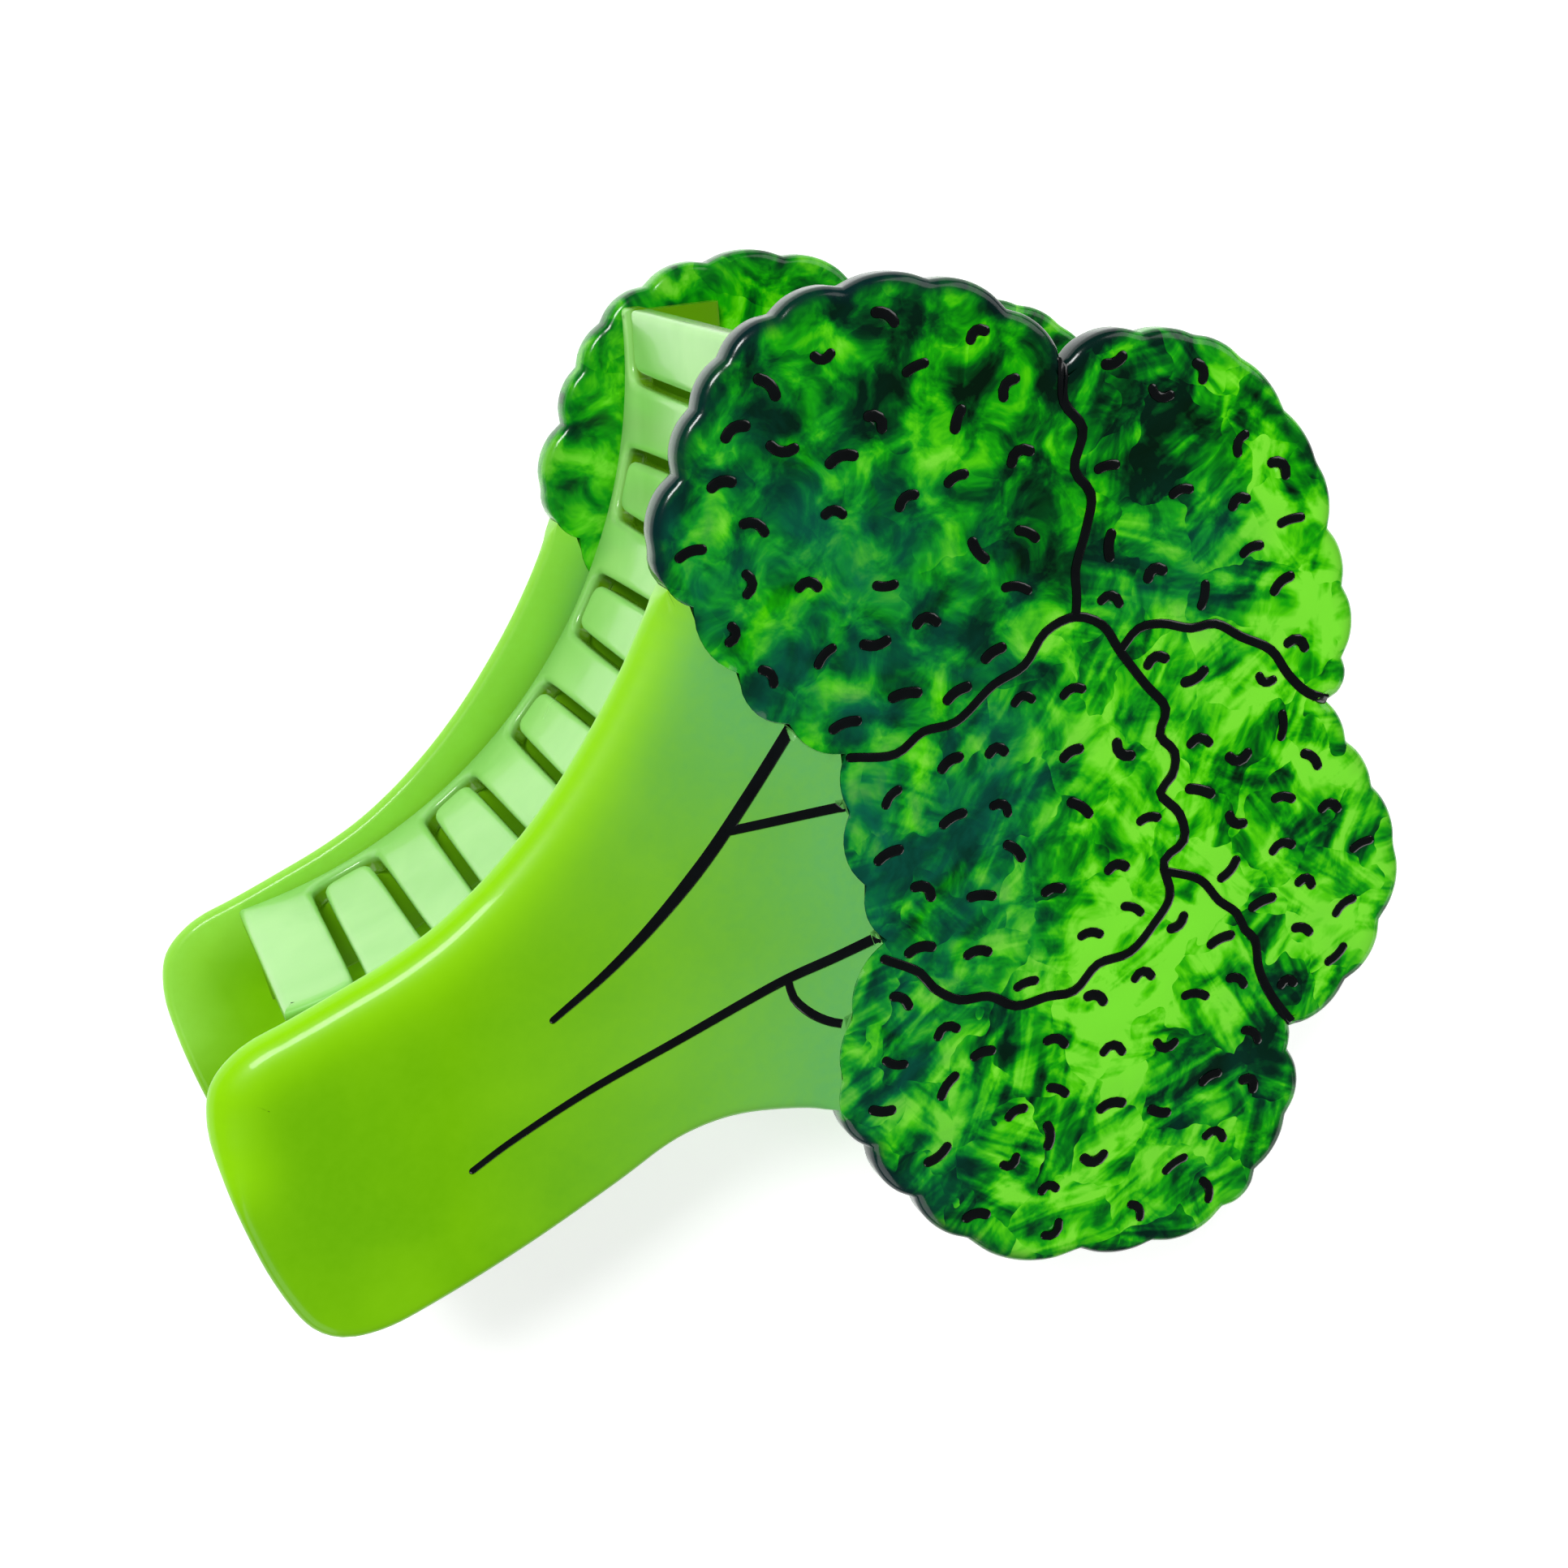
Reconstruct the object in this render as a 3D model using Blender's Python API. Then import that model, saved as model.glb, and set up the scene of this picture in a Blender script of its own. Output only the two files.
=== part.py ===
"""A spring claw clip for hair, with both jaws cut from sheet acetate as a broccoli floret.

Two equal jaws face each other across an open space. Each is a flat plate in two pieces, a stem
and a crown spliced edge to edge, with an L-section comb along its long concave edge. The combs'
teeth stand between each other. A pair of steel leaves, a pin and a torsion spring join the jaws.

The clip lies on its lower jaw: +Z is up through both plates, +X runs along the hinge pin from
the stem's end to the crown, and +Y points to the comb. Lengths in this file are millimetres,
and MM turns them into metres where a mesh is made. Plan points are drawn from the comb's stem
end and DRAWING_CENTRE moves them to the middle of the clip's box.
"""

import math

import bmesh
import bpy
from mathutils import Vector

MM = 0.001
DRAWING_CENTRE = (30.16, -36.95)

# Plates
CLIP_HEIGHT = 36.3
PLATE = 3.0
EDGE_ROUND = 1.0
FIT_GAP = 0.3
SPLICE_SHIFT = (-0.32, 0.24)

# Comb: an arc in plan, its centre outside the clip on the comb side
COMB_CENTRE = (27.5, 34.8)
COMB_RADIUS = 45.3
COMB_WALL = 2.2
COMB_FOOT = 6.0
COMB_FOOT_THICKNESS = 1.5
COMB_ENDS = {"lower": (-39.0, 42.0), "upper": (-34.0, 42.0)}
COMB_STEPS = 26
TOOTH_PITCH = 10.1
TEETH = 6
FIRST_TOOTH = {"lower": 1.0, "upper": 6.05}
SLOT_FLOOR = 5.0
SLOT_REACH = (-20.0, 15.0)
TOOTH_TOP = CLIP_HEIGHT - SLOT_FLOOR - 1.4
SLOT_NARROW = 2.75
SLOT_WIDE = 3.15
SLOT_CORNER = 1.3
TOOTH_CORNER = 1.1

# Hinge
HINGE_X = 39.8
HINGE_Y = -43.0
PIN_RADIUS = 1.2
PIN_HOLE = {"lower": 1.25, "upper": 1.28}
PIN_HEAD_RADIUS = 2.2
PIN_HEAD = 0.8
LEAF_SHEET = 0.8
LEAF_LENGTH = {"lower": 20.0, "upper": 17.8}
LEAF_DEPTH = 12.0
EAR_FOOT = 9.0
EAR_TOP_RADIUS = 2.8
RIVET_X = 5.0
RIVET_Y = 2.0
RIVET_SHANK = 0.8
RIVET_HEAD = 1.7
RIVET_HEAD_HEIGHT = 0.8
RIVET_HOLE = 1.12
RIVET_DEPTH = 1.9

# Torsion spring
WIRE_RADIUS = 0.5
COIL_RADIUS = 2.9
COIL_TURNS = 8
COIL_PITCH = 1.45
LEG_REACH = 4.6
POINTS_PER_TURN = 12

# Black lacquer lines, let into the outer faces
LINE_WIDTH = 0.9
LINE_CLEARANCE = 0.1
LINE_DEPTH = 0.55
LINE_RECESS = 0.05

# How far cutters run past what they cut
CUT_MARGIN = 1.0
REGION_MARGIN = 5.0

# The stem's edge, from the splice on the comb side round to the splice on the handle side.
STEM_EDGE = [
    (40.5, -4.6), (31.0, -6.4), (20.0, -6.8), (10.0, -5.0), (0.0, -0.3), (-4.2, 1.9),
    (-7.5, 2.2), (-10.3, 0.6), (-12.5, -1.8), (-15.5, -6.0), (-18.0, -10.3), (-19.4, -14.2),
    (-19.0, -16.6), (-17.0, -19.0), (-13.3, -21.3), (-6.0, -25.0), (1.4, -28.2), (6.5, -30.3),
    (10.0, -33.0), (12.8, -36.8), (14.7, -40.3),
]  # fmt: skip

# The crown's edge is a chain of round bumps: each entry is the corner where a bump ends and
# how far that bump bulges out of the straight line from the corner before it.
CROWN_START = (14.7, -40.3)
CROWN_BUMPS = [
    # handle-side floret
    ((13.4, -44.5), 0.6), ((11.8, -50.3), 0.9), ((11.2, -56.5), 0.8), ((15.2, -65.9), 1.5),
    ((18.8, -71.2), 0.7), ((24.3, -75.1), 1.0), ((28.4, -75.7), 0.8), ((33.6, -75.1), 0.6),
    ((38.2, -71.6), 1.0), ((39.8, -70.6), 0.1),
    # far floret
    ((45.5, -72.5), 0.8), ((51.2, -71.9), 0.9), ((56.9, -68.9), 0.9), ((59.6, -64.0), 0.6),
    ((61.2, -59.6), 0.5), ((62.8, -56.0), 0.4),
    # side floret
    ((66.3, -54.9), 0.9), ((70.8, -51.2), 0.9), ((73.6, -47.2), 0.6), ((77.1, -43.1), 0.6),
    ((78.6, -38.2), 0.4), ((79.6, -32.6), 0.5), ((78.7, -28.4), 0.4), ((76.3, -24.6), 0.4),
    ((70.8, -20.7), 1.2),
    # comb-side floret
    ((71.4, -14.6), 0.9), ((69.6, -8.3), 0.9), ((65.3, -3.2), 0.8), ((60.7, -0.1), 0.8),
    ((56.1, 1.2), 0.7), ((52.0, 0.8), 0.5), ((47.4, -0.8), 0.7), ((41.9, -2.6), 0.9),
    ((40.5, -4.6), 0.3),
]  # fmt: skip

# The splice between stem and crown, in the same form, from the comb side to the handle side.
SPLICE_START = (40.5, -4.6)
SPLICE_BUMPS = [
    ((40.4, -7.2), 0.3), ((38.3, -13.0), 1.0), ((37.3, -18.5), 1.2), ((37.8, -23.6), 0.8),
    ((34.4, -26.6), 0.6), ((30.4, -31.2), 1.1), ((27.8, -35.2), 0.8), ((21.3, -36.6), 1.0),
    ((17.0, -38.8), 0.6), ((14.7, -40.3), 0.2),
]  # fmt: skip

# Corners of a boundary that clears the clip, one closing each side of the splice.
CROWN_SURROUND = [(5.0, -42.0), (0.0, -90.0), (95.0, -90.0), (95.0, 20.0), (38.0, 20.0), (38.0, -1.0)]
STEM_SURROUND = [(5.0, -42.0), (-40.0, -42.0), (-40.0, 20.0), (38.0, 20.0), (38.0, -1.0)]

# Lines between the florets: the middle floret's outline, and three lines from it to the rim.
FLORET_SEAMS = [
    [
        (38.9, -25.2), (40.0, -27.2), (42.5, -28.0), (44.5, -29.8), (48.5, -30.7), (51.0, -31.9),
        (54.0, -31.8), (56.3, -33.2), (57.0, -35.5), (56.2, -38.0), (55.3, -41.5), (54.7, -44.2),
        (52.8, -45.0), (52.4, -47.0), (50.8, -48.0), (49.2, -47.9), (48.7, -50.5), (47.2, -52.2),
        (45.0, -51.7), (43.0, -54.0), (40.5, -54.2), (37.5, -53.8), (35.3, -52.0), (32.5, -51.6),
        (31.0, -49.9), (29.0, -48.0), (28.5, -45.5), (27.0, -43.5), (26.7, -41.0), (26.6, -38.0),
    ],
    [
        (69.5, -21.9), (67.8, -24.8), (65.0, -26.2), (64.3, -28.5), (62.0, -29.8), (59.0, -31.0),
        (56.3, -33.2),
    ],
    [
        (56.2, -38.0), (58.3, -38.2), (59.7, -39.6), (60.8, -42.0), (62.2, -43.5), (62.6, -46.0),
        (63.2, -49.0), (62.5, -51.5), (62.6, -54.3),
    ],
    [
        (44.2, -52.6), (45.2, -55.5), (44.7, -58.0), (44.7, -60.0), (43.8, -62.8), (42.0, -64.8),
        (40.7, -67.5), (40.2, -69.0),
    ],
]  # fmt: skip

# Lines on the stem: each a long vein and a branch.
STEM_VEINS = {
    "short_vein": [
        [(9.5, -16.2), (14.0, -17.5), (19.0, -18.5), (25.0, -19.1), (31.0, -19.1), (35.6, -18.9)],
        [(28.0, -19.1), (31.5, -22.8), (33.4, -24.8)],
    ],
    "long_vein": [
        [(-3.2, -17.6), (0.0, -18.8), (6.0, -21.6), (13.0, -25.5), (21.0, -30.0), (26.2, -33.6)],
        [(21.0, -30.0), (20.3, -31.5), (20.1, -33.5), (20.5, -34.8)],
    ],
}


# Plan curves


def smooth_curve(points, steps):
    """A centripetal Catmull-Rom curve through the points, with `steps` chords to each span."""
    first = Vector(points[0]) * 2 - Vector(points[1])
    last = Vector(points[-1]) * 2 - Vector(points[-2])
    knots = [first] + [Vector(point) for point in points] + [last]
    curve = []
    for a, b, c, d in zip(knots, knots[1:], knots[2:], knots[3:]):
        times = [0.0]
        for start, end in ((a, b), (b, c), (c, d)):
            times.append(times[-1] + math.sqrt((end - start).length))
        t0, t1, t2, t3 = times
        for step in range(steps):
            t = t1 + (t2 - t1) * step / steps
            ab = a.lerp(b, (t - t0) / (t1 - t0))
            bc = b.lerp(c, (t - t1) / (t2 - t1))
            cd = c.lerp(d, (t - t2) / (t3 - t2))
            abc = ab.lerp(bc, (t - t0) / (t2 - t0))
            bcd = bc.lerp(cd, (t - t1) / (t3 - t1))
            curve.append(abc.lerp(bcd, (t - t1) / (t2 - t1)))
    return curve + [Vector(points[-1])]


def bumps(start, chain, steps):
    """Arcs from corner to corner, bulging to the right of the way they run."""
    start = Vector(start)
    outline = [start]
    for corner, bulge in chain:
        end = Vector(corner)
        chord = end - start
        radius = (chord.length_squared / 4 + bulge**2) / (2 * bulge)
        outward = Vector((chord.y, -chord.x)).normalized()
        centre = (start + end) / 2 - outward * (radius - bulge)
        half_angle = math.asin(min(1.0, chord.length / 2 / radius))
        for step in range(1, steps):
            angle = half_angle * (2 * step / steps - 1)
            along = chord.normalized() * math.sin(angle)
            outline.append(centre + (outward * math.cos(angle) + along) * radius)
        outline.append(end)
        start = end
    return outline


def plate_outline():
    stem = smooth_curve(STEM_EDGE, 3)
    crown = bumps(CROWN_START, CROWN_BUMPS, 4)
    return stem[:-1] + crown[:-1]


def splice_line():
    """The crown's edge against the stem. The arcs bulge towards the stem."""
    return bumps(SPLICE_START, SPLICE_BUMPS, 4)


def inset(outline, distance):
    """The closed outline moved inwards, for one that runs anticlockwise."""
    moved = []
    for index, point in enumerate(outline):
        before = (point - outline[index - 1]).normalized()
        after = (outline[(index + 1) % len(outline)] - point).normalized()
        normal = Vector((-before.y - after.y, before.x + after.x)).normalized()
        across = max(0.6, normal.dot(Vector((-before.y, before.x))))
        moved.append(point + normal * distance / across)
    return moved


# Meshes


def height(z, jaw):
    """A height above the lower jaw's outer face, mirrored for the upper jaw."""
    return CLIP_HEIGHT - z if jaw == "upper" else z


def material(name, colour, roughness, metallic=0.0):
    made = bpy.data.materials.get(name) or bpy.data.materials.new(name)
    made.use_nodes = True
    shader = made.node_tree.nodes["Principled BSDF"]
    shader.inputs["Base Color"].default_value = (*colour, 1.0)
    shader.inputs["Roughness"].default_value = roughness
    shader.inputs["Metallic"].default_value = metallic
    return made


def stem_acetate():
    return material("stem_acetate", (0.22, 0.55, 0.02), 0.22)


def crown_acetate():
    return material("crown_acetate", (0.01, 0.22, 0.03), 0.12)


def comb_acetate():
    return material("comb_acetate", (0.33, 0.66, 0.12), 0.25)


def black_lacquer():
    return material("black_lacquer", (0.005, 0.006, 0.005), 0.15)


def spring_steel():
    return material("spring_steel", (0.62, 0.62, 0.6), 0.28, 1.0)


def leaf_steel():
    return material("leaf_steel", (0.72, 0.72, 0.7), 0.3, 1.0)


def make_object(name, points, faces, finish=None, smooth=False):
    """An object from points in drawing millimetres. Without a finish it is a helper."""
    shift = Vector((DRAWING_CENTRE[0], DRAWING_CENTRE[1], 0.0))
    mesh = bpy.data.meshes.new(name)
    mesh.from_pydata([(Vector(point) - shift) * MM for point in points], [], faces)
    work = bmesh.new()
    work.from_mesh(mesh)
    bmesh.ops.remove_doubles(work, verts=work.verts, dist=0.001 * MM)
    bmesh.ops.recalc_face_normals(work, faces=work.faces)
    work.to_mesh(mesh)
    work.free()
    made = bpy.data.objects.new(name, mesh)
    bpy.context.collection.objects.link(made)
    if finish is None:
        made.hide_render = True
        made.display_type = "WIRE"
    else:
        mesh.materials.append(finish)
    if smooth:
        mesh.shade_smooth()
        mesh.set_sharp_from_angle(angle=math.radians(40))
    return made


def stack(rings):
    """Points and faces of a closed body through rings of equal length, flat at both ends."""
    size = len(rings[0])
    points = [point for ring in rings for point in ring]
    faces = [list(range(size)), list(range(len(points) - size, len(points)))]
    for level in range(len(rings) - 1):
        low = level * size
        for index in range(size):
            following = (index + 1) % size
            faces.append([low + index, low + following, low + size + following, low + size + index])
    return points, faces


def prism(name, outline, low, high, finish=None):
    rings = [[(x, y, z) for x, y in outline] for z in (low, high)]
    return make_object(name, *stack(rings), finish)


def turned(name, profile, centre, axis, finish=None, sides=20):
    """A body turned about X or Z. The profile is (distance along, radius), open at its ends."""
    rings = []
    for along, radius in profile:
        ring = []
        for side in range(sides):
            angle = math.tau * side / sides
            u = radius * math.cos(angle)
            v = radius * math.sin(angle)
            offset = (along, u, v) if axis == "X" else (u, v, along)
            ring.append(tuple(c + o for c, o in zip(centre, offset)))
        rings.append(ring)
    return make_object(name, *stack(rings), finish, smooth=finish is not None)


def boolean(target, operation, helper):
    change = target.modifiers.new(operation.lower() + "_" + helper.name, "BOOLEAN")
    change.operation = operation
    change.solver = "EXACT"
    change.object = helper


# Plates and their lacquer lines


def blank(name, jaw, finish):
    """The whole jaw plate with rounded edges."""
    outline = plate_outline()
    rings = []
    quarter = [(1 - math.sin(a), 1 - math.cos(a)) for a in (0.0, math.pi / 4, math.pi / 2)]
    levels = [(EDGE_ROUND * side, EDGE_ROUND * up) for side, up in quarter]
    levels += [(side, PLATE - up) for side, up in reversed(levels)]
    for side, z in levels:
        rings.append([(x, y, height(z, jaw)) for x, y in inset(outline, side)])
    return make_object(name, *stack(rings), finish)


def strip(name, line, width, low, high, finish=None):
    """A ribbon of constant width along a smooth line."""
    path = smooth_curve(line, 2)
    left = []
    right = []
    for index, point in enumerate(path):
        before = path[max(index - 1, 0)]
        after = path[min(index + 1, len(path) - 1)]
        along = (after - before).normalized()
        across = Vector((-along.y, along.x)) * width / 2
        left.append(point + across)
        right.append(point - across)
    rings = [
        [(*left[i], low), (*right[i], low), (*right[i], high), (*left[i], high)]
        for i in range(len(path))
    ]
    return make_object(name, *stack(rings), finish)


def inlay(name, jaw, lines, plate):
    """Black lacquer in a groove of the plate: the lines joined, and a wider cut for each."""
    floor = height(LINE_RECESS + LINE_DEPTH, jaw)
    face = height(LINE_RECESS, jaw)
    cut_floor = height(LINE_RECESS + LINE_DEPTH + LINE_CLEARANCE, jaw)
    outside = height(-CUT_MARGIN, jaw)
    groove_width = LINE_WIDTH + 2 * LINE_CLEARANCE
    made = strip(name, lines[0], LINE_WIDTH, floor, face, black_lacquer())
    for index, line in enumerate(lines):
        if index:
            joined = strip(f"{name}_line_{index}", line, LINE_WIDTH, floor, face)
            boolean(made, "UNION", joined)
        # A groove runs a little past both ends of its line.
        start = Vector(line[0])
        end = Vector(line[-1])
        start_more = start + (start - Vector(line[1])).normalized() * LINE_CLEARANCE
        end_more = end + (end - Vector(line[-2])).normalized() * LINE_CLEARANCE
        longer = [start_more] + line[1:-1] + [end_more]
        groove = strip(f"{name}_groove_{index}", longer, groove_width, cut_floor, outside)
        boolean(plate, "DIFFERENCE", groove)
    return made


def crown_plate(jaw):
    plate = blank(f"{jaw}_crown_plate", jaw, crown_acetate())
    around = splice_line() + CROWN_SURROUND
    region = prism(f"{jaw}_crown_region", around, -REGION_MARGIN, CLIP_HEIGHT + REGION_MARGIN)
    boolean(plate, "INTERSECT", region)
    seams = inlay(f"{jaw}_floret_seams", jaw, FLORET_SEAMS, plate)
    hole_ends = (PLATE - RIVET_DEPTH - FIT_GAP, PLATE + CUT_MARGIN)
    for x in rivet_places():
        hole = turned(
            f"{jaw}_plate_hole_{round(x)}",
            [(height(z, jaw), RIVET_HOLE) for z in hole_ends],
            (x, HINGE_Y + RIVET_Y, 0.0),
            "Z",
            sides=12,
        )
        boolean(plate, "DIFFERENCE", hole)
    return [plate, seams]


def stem_plate(jaw):
    plate = blank(f"{jaw}_stem_plate", jaw, stem_acetate())
    shift = Vector(SPLICE_SHIFT)
    edge = [point + shift for point in splice_line()]
    around = edge + STEM_SURROUND
    region = prism(f"{jaw}_stem_region", around, -REGION_MARGIN, CLIP_HEIGHT + REGION_MARGIN)
    boolean(plate, "INTERSECT", region)
    veins = [inlay(f"{jaw}_{name}", jaw, lines, plate) for name, lines in STEM_VEINS.items()]
    return [plate] + veins


# Comb


def slot_profile(centre):
    """A slot between two teeth, as (x, z): a round-cornered floor, sides that open a little
    towards the teeth's tips, and round shoulders there."""
    floor = [
        (SLOT_NARROW - SLOT_CORNER * (1 - math.sin(a)), SLOT_FLOOR + SLOT_CORNER * (1 - math.cos(a)))
        for a in (0.0, math.pi / 6, math.pi / 3, math.pi / 2)
    ]
    shoulder = [
        (SLOT_WIDE + TOOTH_CORNER * (1 - math.cos(a)), TOOTH_TOP - TOOTH_CORNER * (1 - math.sin(a)))
        for a in (0.0, math.pi / 6, math.pi / 3, math.pi / 2)
    ]
    above = [(SLOT_WIDE + TOOTH_CORNER, TOOTH_TOP + 1.0)]
    half = floor + shoulder + above
    right = [(centre + x, z) for x, z in half]
    left = [(centre - x, z) for x, z in reversed(half)]
    return right + left


def comb(jaw):
    """An L-section swept round an arc, with slots that let the other jaw's teeth through."""
    foot_low = PLATE + FIT_GAP
    foot_high = foot_low + COMB_FOOT_THICKNESS
    outer = COMB_RADIUS
    inner = COMB_RADIUS + COMB_WALL
    foot = inner + COMB_FOOT
    section = [
        (outer, foot_low), (foot, foot_low), (foot, foot_high),
        (inner, foot_high), (inner, TOOTH_TOP), (outer, TOOTH_TOP),
    ]  # fmt: skip
    start, end = COMB_ENDS[jaw]
    rings = []
    for step in range(COMB_STEPS + 1):
        angle = math.radians(start + (end - start) * step / COMB_STEPS)
        rings.append(
            [
                (
                    COMB_CENTRE[0] + radius * math.sin(angle),
                    COMB_CENTRE[1] - radius * math.cos(angle),
                    height(z, jaw),
                )
                for radius, z in section
            ]
        )
    made = make_object(f"{jaw}_comb", *stack(rings), comb_acetate())
    other = "upper" if jaw == "lower" else "lower"
    for tooth in range(TEETH):
        centre = FIRST_TOOTH[other] + TOOTH_PITCH * tooth
        profile = slot_profile(centre)
        rings = [[(x, y, height(z, jaw)) for x, z in profile] for y in SLOT_REACH]
        slot = make_object(f"{jaw}_slot_{tooth + 1}", *stack(rings))
        boolean(made, "DIFFERENCE", slot)
    return made


# Hinge


def rivet_places():
    return (HINGE_X - RIVET_X, HINGE_X + RIVET_X)


def ear(name, jaw, x_low, x_high):
    """One ear of a leaf: a foot on the leaf's sheet, tapering to a round end about the pin."""
    middle = CLIP_HEIGHT / 2
    foot = PLATE + FIT_GAP
    arc = [math.radians(degrees) for degrees in range(-10, 191, 20)]
    profile = [(EAR_FOOT / 2, foot)]
    profile += [(EAR_TOP_RADIUS * math.cos(a), middle + EAR_TOP_RADIUS * math.sin(a)) for a in arc]
    profile += [(-EAR_FOOT / 2, foot)]
    rings = [[(x, HINGE_Y + y, height(z, jaw)) for y, z in profile] for x in (x_low, x_high)]
    return make_object(name, *stack(rings))


def hinge_leaf(jaw):
    """A steel sheet on the inner face with an ear turned up at each end, drilled for the pin."""
    half = LEAF_LENGTH[jaw] / 2
    low, high = sorted(height(PLATE + FIT_GAP + z, jaw) for z in (0.0, LEAF_SHEET))
    y_low = HINGE_Y - LEAF_DEPTH / 2
    y_high = HINGE_Y + LEAF_DEPTH / 2
    corners = [
        (HINGE_X - half, y_low), (HINGE_X + half, y_low),
        (HINGE_X + half, y_high), (HINGE_X - half, y_high),
    ]  # fmt: skip
    leaf = prism(f"{jaw}_hinge_leaf", corners, low, high, leaf_steel())
    for side, x in (("left", -half), ("right", half - LEAF_SHEET)):
        name = f"{jaw}_{side}_ear"
        boolean(leaf, "UNION", ear(name, jaw, HINGE_X + x, HINGE_X + x + LEAF_SHEET))
    bore_ends = [(-half - 1.0, PIN_HOLE[jaw]), (half + 1.0, PIN_HOLE[jaw])]
    bore = turned(f"{jaw}_pin_bore", bore_ends, (HINGE_X, HINGE_Y, CLIP_HEIGHT / 2), "X")
    boolean(leaf, "DIFFERENCE", bore)
    for x in rivet_places():
        ends = [(low - 1.0, RIVET_HOLE), (high + 1.0, RIVET_HOLE)]
        hole = turned(f"{jaw}_leaf_hole_{round(x)}", ends, (x, HINGE_Y + RIVET_Y, 0.0), "Z", sides=12)
        boolean(leaf, "DIFFERENCE", hole)
    return leaf


def rivet(name, jaw, x):
    """A blind rivet: a shank in the plate and a low domed head on the leaf."""
    seat = PLATE + FIT_GAP + LEAF_SHEET + FIT_GAP
    crown = [
        (seat + RIVET_HEAD_HEIGHT * math.sin(a), RIVET_HEAD * math.cos(a))
        for a in (0.0, math.pi / 6, math.pi / 3, 0.45 * math.pi)
    ]
    profile = [(PLATE - RIVET_DEPTH, RIVET_SHANK), (seat, RIVET_SHANK)] + crown
    profile = [(height(z, jaw), radius) for z, radius in profile]
    return turned(name, profile, (x, HINGE_Y + RIVET_Y, 0.0), "Z", leaf_steel(), sides=12)


def hinge_pin():
    """A pin through all four ears, with a round head outside each end."""
    inner = LEAF_LENGTH["lower"] / 2 + FIT_GAP / 2
    outer = inner + PIN_HEAD
    profile = [
        (-outer, PIN_HEAD_RADIUS * 0.8), (-outer + 0.3, PIN_HEAD_RADIUS),
        (-inner, PIN_HEAD_RADIUS), (-inner, PIN_RADIUS), (inner, PIN_RADIUS),
        (inner, PIN_HEAD_RADIUS), (outer - 0.3, PIN_HEAD_RADIUS), (outer, PIN_HEAD_RADIUS * 0.8),
    ]  # fmt: skip
    return turned("hinge_pin", profile, (HINGE_X, HINGE_Y, CLIP_HEIGHT / 2), "X", spring_steel())


def torsion_spring():
    """A wire coil round the pin. Its two legs leave the coil on the handle side and press the
    jaws' handle ends apart."""
    middle = CLIP_HEIGHT / 2
    leg_height = middle - (PLATE + FIT_GAP + LEAF_SHEET + FIT_GAP + WIRE_RADIUS)
    length = COIL_TURNS * COIL_PITCH
    points = [(-length / 2, -LEG_REACH, -leg_height)]
    for step in range(COIL_TURNS * POINTS_PER_TURN + 1):
        angle = math.tau * step / POINTS_PER_TURN
        x = -length / 2 + length * step / (COIL_TURNS * POINTS_PER_TURN)
        points.append((x, -COIL_RADIUS * math.cos(angle), COIL_RADIUS * math.sin(angle)))
    points.append((length / 2, -LEG_REACH, leg_height))
    curve = bpy.data.curves.new("torsion_spring", "CURVE")
    curve.dimensions = "3D"
    curve.bevel_depth = WIRE_RADIUS * MM
    curve.bevel_resolution = 1
    curve.use_fill_caps = True
    curve.materials.append(spring_steel())
    spline = curve.splines.new("POLY")
    spline.points.add(len(points) - 1)
    for knot, (x, y, z) in zip(spline.points, points):
        knot.co = (x * MM, y * MM, z * MM, 1.0)
    made = bpy.data.objects.new("torsion_spring", curve)
    made.location = axis_place()
    bpy.context.collection.objects.link(made)
    return made


def axis_place():
    place = Vector((HINGE_X - DRAWING_CENTRE[0], HINGE_Y - DRAWING_CENTRE[1], CLIP_HEIGHT / 2))
    return place * MM


# Assembly


def pivot():
    """The upper jaw's pieces hang from an empty on the pin's axis."""
    made = bpy.data.objects.new("upper_jaw_axis", None)
    made.location = axis_place()
    bpy.context.collection.objects.link(made)
    return made


def jaw_pieces(jaw):
    pieces = stem_plate(jaw) + crown_plate(jaw) + [comb(jaw), hinge_leaf(jaw)]
    for number, x in enumerate(rivet_places(), 1):
        pieces.append(rivet(f"{jaw}_rivet_{number}", jaw, x))
    return pieces


def main():
    for old in list(bpy.data.objects):
        bpy.data.objects.remove(old)
    jaw_pieces("lower")
    hinge_pin()
    torsion_spring()
    axis = pivot()
    for piece in jaw_pieces("upper"):
        piece.parent = axis
        piece.location = -axis.location


main()
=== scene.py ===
"""The looks of a broccoli-shaped hair claw clip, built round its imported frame.

Each acetate plate and comb is modelled again as a fine closed sheet over its CAD node's own outline,
with polished round edges, engraved lines and small bean-shaped marks filled with black lacquer.
The spring is a new smooth wire, and the hinge's other steel pieces keep their CAD shape. Sizes are
millimetres unless a line says otherwise; MM turns them into metres.
"""

import math
import random

import bmesh
import bpy
import numpy as np
from mathutils import Matrix, Vector, noise
from mathutils.geometry import delaunay_2d_cdt


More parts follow.
